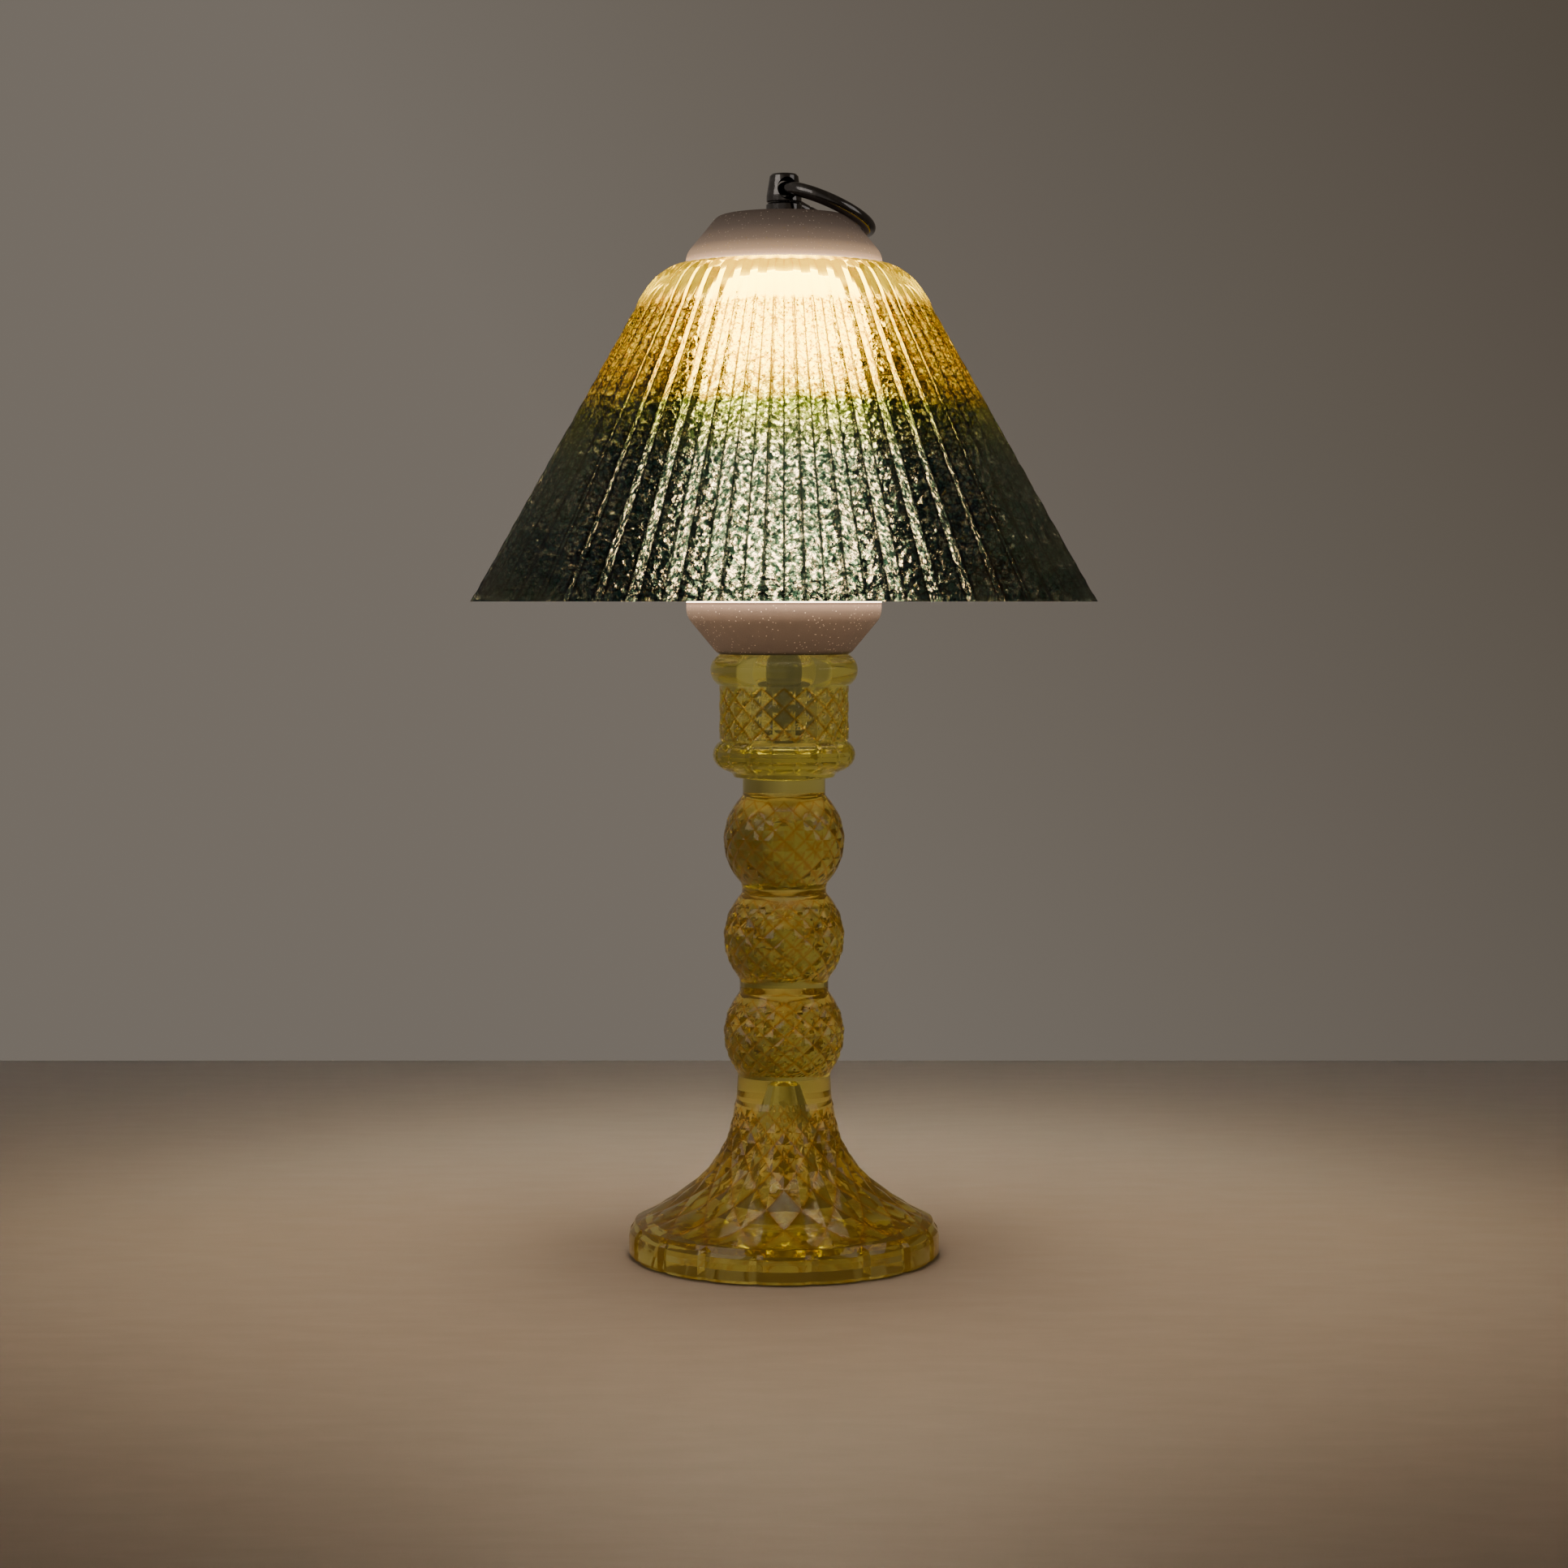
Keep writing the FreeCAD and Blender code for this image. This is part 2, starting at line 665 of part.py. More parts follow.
def make_swivel_head():
    body = doc.addObject("PartDesign::Body", "swivel_head")
    turn(body, "head_turning", [
        ("0", "base_top_z + head_gap"),
        ("head_rad - head_edge / 2", "base_top_z + head_gap"),
        ("head_rad", "base_top_z + head_gap + head_edge / 2"),
        ("head_rad", "head_band_z"),
        ("head_top_rad", "head_top_z - head_edge"),
        ("head_top_rad - head_edge", "head_top_z"),
        ("0", "head_top_z"),
    ])
    solid = body.Shape.Volume
    # the eye lies along Y and flares to its mouths, as the curved ring wire needs when it flips
    eye = new_sketch(body, "eye_outline", "YZ_Plane")
    mouth = "head_rad + head_edge"
    throat_curve = "ring_rad - ring_wire - eye_gap"
    flare = f"ring_rad - sqrt(({throat_curve})^2 - ({mouth})^2)"
    draw_outline(eye, [
        (f"-({mouth})", "eye_z"),
        (mouth, "eye_z"),
        (mouth, f"eye_z + {flare}", (throat_curve, 1)),
        (f"-({mouth})", f"eye_z + {flare}"),
    ])
    groove = body.newObject("PartDesign::Groove", "eye_cut")
    groove.Profile = eye
    groove.ReferenceAxis = (eye, ["Edge1"])
    groove.Angle = 360
    doc.recompute()
    print(f"swivel head volume {solid:.2f}, with its eye {body.Shape.Volume:.2f}")
    face_ring_heading(body)
    return keep(body, "swivel_head")


def make_hang_ring():
    """The ring, lying over the cap's shoulder: its wire passes the eye and its centre droops."""
    ring = bind(doc.addObject("Part::Torus", "hang_ring"), Radius1="ring_rad", Radius2="ring_wire")
    heading, droop = size("ring_heading"), size("ring_droop")
    spin = FreeCAD.Rotation(Vector(0, 0, 1), heading).multiply(FreeCAD.Rotation(Vector(0, 1, 0), droop))
    ring.Placement = FreeCAD.Placement(Vector(), spin)
    reach = "ring_rad * cos(ring_droop)"
    at(ring, f"{reach} * cos(ring_heading)", f"{reach} * sin(ring_heading)", "eye_z - ring_rad * sin(ring_droop)")
    return keep(ring, "hang_ring")


# ---------------------------------------------------------------------------------------------
# Shade: its pleats are half as deep inside as outside. Every facet on them is flat, because crest
# and valley keep one ratio all the way up
# ---------------------------------------------------------------------------------------------
def pleated_loop(radius, height, share):
    """The corners of one level of the shade: crests at the radius, valleys at its share of it."""
    count = 2 * int(size("pleats"))
    loop = []
    for i in range(count):
        angle = 2 * math.pi * i / count
        reach = radius * (share if i % 2 else 1.0)
        loop.append(Vector(reach * math.cos(angle), reach * math.sin(angle), height))
    return loop


def facets(a, b, c, d):
    """The face between four corners, or two triangles where they don't lie in one plane."""
    flat = abs((b - a).cross(c - a).dot(d - a)) < 1e-6
    outlines = [(a, b, c, d)] if flat else [(a, b, c), (a, c, d)]
    return [Part.Face(Part.makePolygon([*outline, outline[0]])) for outline in outlines]


def make_shade():
    share = size("valley_share")
    wall = size("shade_wall")
    levels = [(size(f"shade_{name}_rad"), size(f"shade_{name}_z")) for name in
              ("low", "break", "shoulder", "brow", "lip")]
    hole, top = size("shade_hole_rad"), size("shade_lip_z")
    loops = [pleated_loop(r, z, share) for r, z in levels]
    loops.append(pleated_loop(hole, top, 1.0))
    loops.append(pleated_loop(hole, top - wall, 1.0))
    inner_share = 1 - (1 - share) * size("inner_fold")
    drops = [wall * i / 4 for i in range(4)]  # the inside turns in lower than the outside does
    inside = [(r * inner_share - wall, z - drop) for (r, z), drop in zip(levels[:-1], drops)]
    loops.extend(pleated_loop(r, z, inner_share) for r, z in reversed(inside))
    faces = []
    for low, high in zip(loops, loops[1:] + loops[:1]):
        for i, corner in enumerate(low):
            j = (i + 1) % len(low)
            faces.extend(facets(corner, low[j], high[j], high[i]))
    shell = Part.makeShell(faces)
    shell.sewShape()
    solid = Part.makeSolid(shell)
    if solid.Volume < 0:
        solid.reverse()
    piece = doc.addObject("Part::Feature", "shade")
    piece.Shape = solid
    return keep(piece, "shade")


# ---------------------------------------------------------------------------------------------
# Build, check and write
# ---------------------------------------------------------------------------------------------
for make in (
    make_candlestick, make_capsule_shell, make_capsule_cap, make_seat_ring,
    make_spigot, make_switch_plunger, make_switch_stem, make_tact_switch, make_control_board,
    make_cell_holder, make_coin_cell, make_negative_contact, make_positive_clip, make_leads,
    make_led_board, make_leds, make_driver_components,
    make_swivel_base, make_swivel_washer, make_swivel_nut, make_swivel_pin, make_swivel_head,
    make_hang_ring, make_shade,
):
    make()
doc.recompute()

for item in doc.Objects:
    if "Invalid" in item.State or "Error" in item.State:
        raise RuntimeError(f"{item.Label} failed: {item.State}")

os.makedirs("parts", exist_ok=True)
for piece in NODES:
    shape = piece.Shape
    if shape.isNull() or not shape.isValid() or not shape.Solids:
        raise RuntimeError(f"{piece.Label} has no valid solid")
    shape.exportStep(os.path.join("parts", f"{piece.Label}.step"))
    print(f"{piece.Label}: {len(shape.Solids)} solid(s), {shape.Volume:.1f} mm3")
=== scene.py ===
"""Looks of a small glowing table lamp: a cut amber glass candlestick, a frosted light capsule, a
pleated amber and green shade, and a dark metal hang ring.

Every length in the classes is in millimetres and becomes metres where a mesh is made.
"""

import enum
import logging
import math
from dataclasses import dataclass, field
from typing import Callable, Iterator, Optional, Union

import bpy
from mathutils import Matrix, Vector

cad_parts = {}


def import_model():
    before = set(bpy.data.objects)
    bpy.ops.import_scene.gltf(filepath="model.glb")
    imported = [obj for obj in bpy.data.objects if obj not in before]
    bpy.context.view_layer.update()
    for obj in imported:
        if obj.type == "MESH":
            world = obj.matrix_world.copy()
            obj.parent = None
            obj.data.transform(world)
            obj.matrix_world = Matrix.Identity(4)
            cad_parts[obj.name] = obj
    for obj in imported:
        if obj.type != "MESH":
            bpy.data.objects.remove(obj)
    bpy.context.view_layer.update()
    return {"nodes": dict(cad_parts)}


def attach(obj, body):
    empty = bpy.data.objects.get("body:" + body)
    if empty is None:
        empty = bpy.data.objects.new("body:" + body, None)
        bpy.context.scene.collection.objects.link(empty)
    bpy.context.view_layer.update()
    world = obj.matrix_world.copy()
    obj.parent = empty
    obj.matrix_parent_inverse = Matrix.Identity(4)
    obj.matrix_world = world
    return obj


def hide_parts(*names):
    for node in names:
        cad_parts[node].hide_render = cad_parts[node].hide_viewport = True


log = logging.getLogger("lamp")

MM = 0.001
LOBES = 18
HALF_CUT = 4            # steps from the middle of a diamond to its corner

UNLIT = (0.0, 0.0, 0.0)

# Sockets of a colour Mix node, which share their names with those for numbers and vectors.
MIX_FACTOR, MIX_FIRST, MIX_SECOND = 0, 6, 7
MIX_RESULT = 2

Colour = tuple[float, float, float]
Outline = tuple[tuple[float, float], ...]
Point = tuple[float, float, float]
Link = Union[float, bpy.types.NodeSocket, "Value"]


# ---- Shader and geometry nodes ----
class NodeGraph:
    """One node tree, with a single way of adding nodes."""

    def __init__(self, tree: bpy.types.NodeTree) -> None:
        """Takes an empty tree."""
        self.tree = tree

    def node(self, kind: str, settings: Optional[dict] = None,
             inputs: Optional[dict] = None) -> bpy.types.Node:
        """Adds a node.

        Args:
            kind: the node's type name.
            settings: properties to set first, such as a Math node's operation. "stops" fills a ramp.
            inputs: values or links for the sockets, by name or index.

        Returns:
            The new node.
        """
        made = self.tree.nodes.new(kind)
        for name, value in (settings or {}).items():
            if name == "stops":
                self.fill_ramp(made.color_ramp, value)
            else:
                setattr(made, name, value)
        for name, value in (inputs or {}).items():
            self.plug(made.inputs[name], value)
        return made

    def plug(self, socket: bpy.types.NodeSocket, value: object) -> None:
        """Links a socket to another, or sets its value."""
        if isinstance(value, Value):
            value = value.socket
        if isinstance(value, bpy.types.NodeSocket):
            self.tree.links.new(value, socket)
        else:
            socket.default_value = value

    @staticmethod
    def fill_ramp(ramp: bpy.types.ColorRamp, stops: list[tuple[float, Colour]]) -> None:
        """Sets a ramp's stops, each a place from 0 to 1 and a colour."""
        while len(ramp.elements) < len(stops):
            ramp.elements.new(1.0)
        for element, (place, colour) in zip(ramp.elements, stops):
            element.position = place
            element.color = (*colour, 1.0)

    def value(self, socket: bpy.types.NodeSocket) -> "Value":
        """Wraps a socket for use in an expression."""
        return Value(self, socket)


class Value:
    """A socket's value in an expression. Each operator adds its Math node."""

    def __init__(self, graph: NodeGraph, socket: bpy.types.NodeSocket) -> None:
        """Takes the graph that gets the nodes, and the socket."""
        self.graph = graph
        self.socket = socket

    def math(self, operation: str, first: Link, second: Link = 0.0, clamp: bool = False) -> "Value":
        """Adds one Math node and returns its result."""
        made = self.graph.node("ShaderNodeMath", {"operation": operation, "use_clamp": clamp},
                               {0: first, 1: second})
        return Value(self.graph, made.outputs[0])

    def __add__(self, other: Link) -> "Value":
        """Sum."""
        return self.math("ADD", self, other)

    def __radd__(self, other: Link) -> "Value":
        """Sum, reflected."""
        return self.math("ADD", other, self)

    def __sub__(self, other: Link) -> "Value":
        """Difference."""
        return self.math("SUBTRACT", self, other)

    def __rsub__(self, other: Link) -> "Value":
        """Difference, reflected."""
        return self.math("SUBTRACT", other, self)

    def __mul__(self, other: Link) -> "Value":
        """Product."""
        return self.math("MULTIPLY", self, other)

    def __rmul__(self, other: Link) -> "Value":
        """Product, reflected."""
        return self.math("MULTIPLY", other, self)

    def __truediv__(self, other: Link) -> "Value":
        """Quotient."""
        return self.math("DIVIDE", self, other)

    def clamped(self) -> "Value":
        """The value held between 0 and 1."""
        return self.math("ADD", self, 0.0, clamp=True)

    def larger(self, other: Link) -> "Value":
        """The larger of two values."""
        return self.math("MAXIMUM", self, other)

    def ping_pong(self, span: float) -> "Value":
        """A triangle wave from 0 to the span and back."""
        return self.math("PINGPONG", self, span)


class Shader:
    """A material under construction: its graph, its Principled shader and its object coordinates."""

    def __init__(self, name: str) -> None:
        """Makes the material and clears its nodes."""
        self.material = bpy.data.materials.new(name)
        self.material.use_nodes = True
        self.material.node_tree.nodes.clear()
        self.graph = NodeGraph(self.material.node_tree)
        self.principled = self.graph.node("ShaderNodeBsdfPrincipled")
        self.output = self.graph.node("ShaderNodeOutputMaterial", inputs={
            "Surface": self.principled.outputs["BSDF"]})
        self.place = self.graph.node("ShaderNodeTexCoord").outputs["Object"]

    def set(self, **inputs: object) -> None:
        """Sets Principled sockets. Underscores in a name stand for spaces."""
        for name, value in inputs.items():
            self.graph.plug(self.principled.inputs[name.replace("_", " ")], value)

    def axis(self, name: str) -> Value:
        """One of the object coordinates, in metres."""
        split = self.graph.node("ShaderNodeSeparateXYZ", inputs={0: self.place})
        return self.graph.value(split.outputs[name])

    def height(self) -> Value:
        """Height above the table in metres."""
        return self.axis("Z")

    def stretched(self, scale: Point) -> bpy.types.NodeSocket:
        """Object coordinates scaled along each axis."""
        return self.graph.node("ShaderNodeMapping", inputs={"Vector": self.place, "Scale": scale}).outputs[0]

    def noise(self, per_mm: float, detail: float = 3.0,
              where: Optional[bpy.types.NodeSocket] = None) -> Value:
        """Fractal noise with about per_mm features in a millimetre."""
        made = self.graph.node("ShaderNodeTexNoise", inputs={
            "Vector": where or self.place, "Scale": per_mm / MM, "Detail": detail})
        return self.graph.value(made.outputs[0])

    def cells(self, per_mm: float, feature: str = "F1") -> Value:
        """Voronoi distance with about per_mm cells in a millimetre."""
        made = self.graph.node("ShaderNodeTexVoronoi", {"feature": feature}, {
            "Vector": self.place, "Scale": per_mm / MM})
        return self.graph.value(made.outputs["Distance"])

    def ramp(self, factor: Value, stops: list[tuple[float, Colour]]) -> bpy.types.NodeSocket:
        """A colour ramp over a factor."""
        return self.graph.node("ShaderNodeValToRGB", {"stops": stops}, {0: factor}).outputs["Color"]

    def blend(self, factor: Link, first: object, second: object) -> bpy.types.NodeSocket:
        """Two colours mixed, each a colour or a socket."""
        return mixed(self.graph, factor, first, second)

    def bump(self, height: Value, depth_mm: float, strength: float = 1.0) -> None:
        """Feeds a relief to the Normal socket."""
        made = self.graph.node("ShaderNodeBump", inputs={
            "Height": height, "Distance": depth_mm * MM, "Strength": strength})
        self.set(Normal=made.outputs[0])


def as_rgba(colour: object) -> object:
    """A plain colour with its alpha, or the socket as it is."""
    return (*colour, 1.0) if isinstance(colour, tuple) else colour


def mixed(graph: NodeGraph, factor: Link, first: object, second: object) -> bpy.types.NodeSocket:
    """Mixes two colours in any node tree."""
    made = graph.node("ShaderNodeMix", {"data_type": "RGBA"}, {
        MIX_FACTOR: factor, MIX_FIRST: as_rgba(first), MIX_SECOND: as_rgba(second)})
    return made.outputs[MIX_RESULT]


# ---- Finishes ----
@dataclass(frozen=True)
class CutGlass:
    """Clear amber glass, fire polished, with faint mould ripple. Its grooves carry painted shade and a
    painted glow, and a painted glow lifts its foot and its cup.
    """
    name: str = "amber_glass"
    tint: Colour = (0.97, 0.93, 0.62)
    deep_tint: Colour = (0.96, 0.90, 0.54)
    groove_shade_tint: Colour = (0.70, 0.37, 0.05)
    groove_painted_glow: Colour = (0.026, 0.0135, 0.0006)
    top_mm: float = 74.4
    ripple_mm: float = 0.02
    ripple_per_mm: float = 0.55
    patch_per_mm: float = 0.12
    refraction: float = 1.52
    depth_tint: Colour = (0.922, 0.862, 0.07)
    depth_density: float = 118.0

    def build(self) -> bpy.types.Material:
        """Makes the material."""
        shader = Shader(self.name)
        patches = shader.noise(self.patch_per_mm, 2.0)
        body = shader.blend((patches * 2.0 - 0.6).clamped(), self.tint, self.deep_tint)
        marked = shader.graph.node("ShaderNodeAttribute", {"attribute_name": "groove"})
        groove = (shader.graph.value(marked.outputs["Fac"]) * 1.3 - 0.2).clamped()
        # Painted shade: the grooves of the cutting are painted a darker orange.
        shader.set(Base_Color=shader.blend(groove, body, self.groove_shade_tint))
        shader.set(Roughness=(0.02 + shader.noise(1.5) * 0.03), IOR=self.refraction)
        shader.set(Transmission_Weight=1.0)
        # Painted glow: the glass shines from within, most at the foot and the cup, standing in for light
        # bouncing in it and for the cup's highlights.
        glass_painted_glow = shader.ramp(shader.height() / (self.top_mm * MM), [
            (0.0, (0.017, 0.0096, 0.0005)), (0.12, (0.009, 0.0054, 0.0003)), (0.30, (0.0024, 0.0018, 0.0003)),
            (0.72, (0.0015, 0.0012, 0.0003)), (0.82, (0.015, 0.0130, 0.0040)), (1.0, (0.028, 0.0260, 0.012)),
        ])
        # The grooves get a painted glow of their own.
        shader.set(Emission_Color=shader.blend(groove, glass_painted_glow, self.groove_painted_glow))
        shader.set(Emission_Strength=1.0)
        shader.bump(shader.noise(self.ripple_per_mm, 2.0), self.ripple_mm, 0.6)
        depth = shader.graph.node("ShaderNodeVolumeAbsorption", inputs={
            "Color": as_rgba(self.depth_tint), "Density": self.depth_density})
        shader.graph.plug(shader.output.inputs["Volume"], depth.outputs[0])
        return shader.material


@dataclass(frozen=True)
class FrostedGlow:
    """Frosted shell that glows most behind the shade's collar, with a sparkling grain whose glints are
    painted as bright specks in its colour.
    """
    name: str = "frosted_glow"
    body: Colour = (0.140, 0.109, 0.090)
    streak: Colour = (0.17, 0.13, 0.105)
    glint_speck: Colour = (0.85, 0.72, 0.60)
    strength: float = 24.0
    low_mm: float = 74.0
    high_mm: float = 128.0
    grain_per_mm: float = 4.5
    glint_speck_per_mm: float = 2.0
    streak_stretch: float = 0.06
    matt: float = 0.62
    grain_mm: float = 0.08

    def build(self) -> bpy.types.Material:
        """Makes the material."""
        shader = Shader(self.name)
        up = (shader.height() / MM - self.low_mm) / (self.high_mm - self.low_mm)
        glow = shader.ramp(up, [
            (0.00, (0.0001, 0.0001, 0.0001)),
            (0.08, (0.0006, 0.0004, 0.0002)),
            (0.105, (0.0040, 0.0026, 0.0018)),
            (0.125, (0.028, 0.0165, 0.0105)),
            (0.16, (11.0, 8.20, 5.60)),
            (0.30, (3.60, 2.75, 1.85)),
            (0.50, (2.90, 2.40, 1.60)),
            (0.70, (3.20, 3.30, 2.60)),
            (0.867, (2.00, 1.90, 1.55)),
            (0.876, (0.240, 0.150, 0.085)),
            (0.889, (0.0500, 0.0290, 0.0170)),
            (0.902, (0.0220, 0.0137, 0.0080)),
            (0.926, (0.0075, 0.0051, 0.0036)),
            (0.960, (0.0025, 0.0018, 0.0014)),
            (1.00, (0.0002, 0.0001, 0.0001)),
        ])
        grain = shader.cells(self.grain_per_mm)
        sparkle = (1.0 - grain * 3.2).clamped() * shader.noise(2.2, 2.0)
        streaks = shader.noise(1.0, 2.0, shader.stretched((1.0, 1.0, self.streak_stretch)))
        # Painted glints: bright specks in the frost's colour.
        glint_specks = ((0.17 - shader.cells(self.glint_speck_per_mm)) * 14.0).clamped()
        skin = shader.blend(streaks, self.body, self.streak)
        shader.set(Base_Color=shader.blend(glint_specks, skin, self.glint_speck))
        shader.set(Emission_Color=glow, Emission_Strength=self.strength)
        shader.set(Roughness=(self.matt - sparkle * 0.5).clamped(), Specular_IOR_Level=0.6)
        shader.bump(shader.noise(6.0, 4.0) + sparkle, self.grain_mm, 0.7)
        return shader.material


@dataclass(frozen=True)
class PressedShade:
    """Clear pressed plastic, amber at the top and bottle green below, with a hammered relief.

    Each group of tints goes up the shade: green, olive, amber and the plain band at the top.
    Dark lines along the pleats and round the cells, and dark spots, are painted shade; a faint glow
    between them and the clear patches are painted glints.
    """
    name: str = "pressed_shade"
    clear_tints: tuple[Colour, ...] = ((0.25, 0.226, 0.150), (0.34, 0.32, 0.07), (0.90, 0.61, 0.03),
                                       (1.00, 0.93, 0.34))
    body_tints: tuple[Colour, ...] = ((0.0008, 0.0024, 0.0016), (0.0070, 0.0095, 0.0003), (0.42, 0.212, 0.0),
                                      (0.86, 0.60, 0.03))
    painted_shade_tints: tuple[Colour, ...] = ((0.0002, 0.0004, 0.0003), (0.0006, 0.0009, 0.0001),
                                      (0.020, 0.0085, 0.0), (0.36, 0.20, 0.008))
    painted_glints: tuple[Colour, ...] = ((0.0008, 0.0056, 0.0042), (0.0025, 0.0060, 0.0004), (0.060, 0.032, 0.0),
                                  (0.20, 0.13, 0.0))
    low_mm: float = 80.0
    high_mm: float = 122.0
    band_mm: float = 117.0
    pleats: float = 50.0
    drift_mm: float = 3.0
    shade_web_per_mm: float = 1.25
    shade_spots_per_mm: float = 2.4
    clear_per_mm: float = 1.7
    dents_per_mm: float = 1.05
    refraction: float = 1.30
    relief_mm: float = 0.36

    def by_height(self, shader: Shader, up: Value, colours: tuple[Colour, ...]) -> bpy.types.NodeSocket:
        """A colour for the green, the olive, the amber and the top band, one above another."""
        green, olive, amber, top = colours
        return shader.ramp(up, [(0.00, green), (0.42, green), (0.57, olive), (0.74, amber), (0.86, amber),
                                (0.92, top)])

    def pleat_shade_lines(self, shader: Shader) -> Value:
        """Marks the crest and the valley of each pleat, where painted shade lines go."""
        across = shader.axis("X")
        angle = across.math("ARCTAN2", shader.axis("Y"), across)
        fold = (angle / (2 * math.pi) * self.pleats).ping_pong(0.5) * 2.0
        crest = ((0.16 - fold) * 9.0).clamped()
        valley = ((fold - 0.82) * 8.0).clamped()
        return crest.larger(valley)

    def build(self) -> bpy.types.Material:
        """Makes the material."""
        shader = Shader(self.name)
        height = shader.height() / MM
        drift = (shader.noise(0.25, 2.0) - 0.5) * self.drift_mm
        up = (height + drift - self.low_mm) / (self.high_mm - self.low_mm)
        below_band = ((self.band_mm - height) * 1.2).clamped()
        # Painted shade: dark lines round cells and dark spots, then dark lines along the pleats' crests and
        # valleys.
        shade_web = (1.1 - shader.cells(self.shade_web_per_mm, "DISTANCE_TO_EDGE") * 8.0).clamped()
        shade_spots = ((shader.noise(self.shade_spots_per_mm, 2.0) - 0.53) * 9.0).clamped()
        clear = ((shader.noise(self.clear_per_mm, 2.0) - 0.48) * 9.0).clamped() * below_band
        pressed = (shade_web * 0.9).larger(shade_spots) * below_band
        dark = (self.pleat_shade_lines(shader) * (below_band * 0.6 + 0.4)).larger(pressed)
        # The tints follow the plastic's own colour up the shade and are partly painted: clear patches pass
        # the lamp as bright specks, painted glints, and the near-black body between them is painted shade.
        tint = shader.blend(clear, self.by_height(shader, up, self.body_tints),
                            self.by_height(shader, up, self.clear_tints))
        shader.set(Base_Color=shader.blend(dark, tint, self.by_height(shader, up, self.painted_shade_tints)))
        shader.set(Roughness=(0.03 + shader.noise(0.8) * 0.04), IOR=self.refraction, Transmission_Weight=1.0)
        # Painted glints: the plastic glows a little between the painted shade lines.
        shader.set(Emission_Color=shader.blend(dark, self.by_height(shader, up, self.painted_glints), UNLIT))
        shader.set(Emission_Strength=1.0)
        dents = shader.cells(self.dents_per_mm, "SMOOTH_F1")
        relief = (dents * 1.4 + shader.noise(2.2, 3.0) * 0.9) * (1.2 - up).clamped() * below_band
        shader.bump(relief, self.relief_mm, 1.0)
        return shader.material


@dataclass(frozen=True)
class Metal:
    """Metal with fine polishing marks and slight wear."""
    name: str
    colour: Colour
    worn: Colour
    roughness: float = 0.12
    polish_mm: float = 0.01

    def build(self) -> bpy.types.Material:
        """Makes the material."""
        shader = Shader(self.name)
        wear = ((shader.noise(0.9, 4.0) - 0.5) * 4.0).clamped()
        shader.set(Base_Color=shader.blend(wear, self.colour, self.worn), Metallic=1.0)
        shader.set(Roughness=(self.roughness + shader.noise(3.0, 3.0) * 0.10))
        shader.bump(shader.noise(8.0, 2.0), self.polish_mm, 0.4)
        return shader.material


@dataclass(frozen=True)
class Moulding:
    """Moulded plastic, rubber or a coated board, with a fine skin texture."""
    name: str
    colour: Colour
    shade: Colour
    roughness: float = 0.5
    grain_per_mm: float = 5.0
    glow: Colour = UNLIT
    glow_strength: float = 0.0
    grain_mm: float = 0.03

    def build(self) -> bpy.types.Material:
        """Makes the material."""
        shader = Shader(self.name)
        patches = shader.noise(0.6, 3.0)
        grain = shader.noise(self.grain_per_mm, 3.0)
        shader.set(Base_Color=shader.blend(patches, self.colour, self.shade))
        shader.set(Roughness=(self.roughness + grain * 0.2))
        shader.set(Emission_Color=as_rgba(self.glow), Emission_Strength=self.glow_strength)
        shader.bump(grain, self.grain_mm, 0.5)
        return shader.material


class Inner(enum.Enum):
    """Finishes of the pieces inside the capsule and of the hardware."""
    DARK_CHROME = Metal("dark_chrome", (0.16, 0.155, 0.16), (0.26, 0.25, 0.25), 0.06)
    NICKEL = Metal("nickel_steel", (0.62, 0.60, 0.57), (0.50, 0.48, 0.46), 0.25)
    BRASS = Metal("contact_brass", (0.80, 0.62, 0.30), (0.60, 0.44, 0.20), 0.22)
    # The clear seat ring gets a painted glow, standing in for the lamp's light passing through it.
    SILICONE = Moulding("clear_silicone", (0.85, 0.80, 0.72), (0.78, 0.72, 0.64), 0.4, 3.0,
                        (1.0, 0.78, 0.40), 2.5)
    BLACK = Moulding("black_moulding", (0.022, 0.022, 0.024), (0.035, 0.034, 0.033), 0.42)
    BOARD = Moulding("board_mask", (0.03, 0.16, 0.07), (0.02, 0.11, 0.05), 0.35, 2.0)
    PHOSPHOR = Moulding("led_phosphor", (0.95, 0.80, 0.35), (0.90, 0.70, 0.25), 0.5, 6.0,
                        (1.0, 0.86, 0.62), 6.0)


# ---- Mesh helpers ----
@dataclass
class Ring:
    """One level of a turned piece: its height, each step's radius and how far into a groove it is."""
    height: float
    radii: list[float]
    marks: list[float] = field(default_factory=list)

    def point(self, i: int) -> Point:
        """The place of one step, in metres."""
        angle = 2 * math.pi * i / len(self.radii)
        radius = self.radii[i] * MM
        return radius * math.cos(angle), radius * math.sin(angle), self.height * MM


def plain_ring(radius: float, height: float, steps: int) -> Ring:
    """A round ring."""
    return Ring(height, [radius] * steps)


def lobed_ring(radius: float, height: float, notch: float, sharpness: float, steps: int) -> Ring:
    """A ring of lobes with a narrow notch between each two."""
    radii = []
    for i in range(steps):
        across = (i * LOBES / steps) % 1.0
        radii.append(radius - notch * abs(2 * across - 1) ** sharpness)
    return Ring(height, radii)


def fade(place: float, rise: float, fall: float) -> float:
    """How deep a band of cutting is at a place from 0 to 1: shallow at its ends, full between them."""
    return min(rise * place, 1.0, fall * (1 - place))


def arc_rings(centre: tuple[float, float], radius: float, start: float, end: float, count: int,
              steps: int) -> list[Ring]:
    """Rings along an arc of the outline.

    Args:
        centre: the arc's centre, as radius and height.
        radius: the arc's radius.
        start: the first angle in degrees, where 0 points outwards and 90 up.
        end: the last angle.
        count: how many rings.
        steps: steps round each ring.

    Returns:
        The rings, both ends among them.
    """
    rings = []
    for i in range(count):
        angle = math.radians(start + (end - start) * i / (count - 1))
        out, up = radius * math.cos(angle), radius * math.sin(angle)
        rings.append(plain_ring(centre[0] + out, centre[1] + up, steps))
    return rings


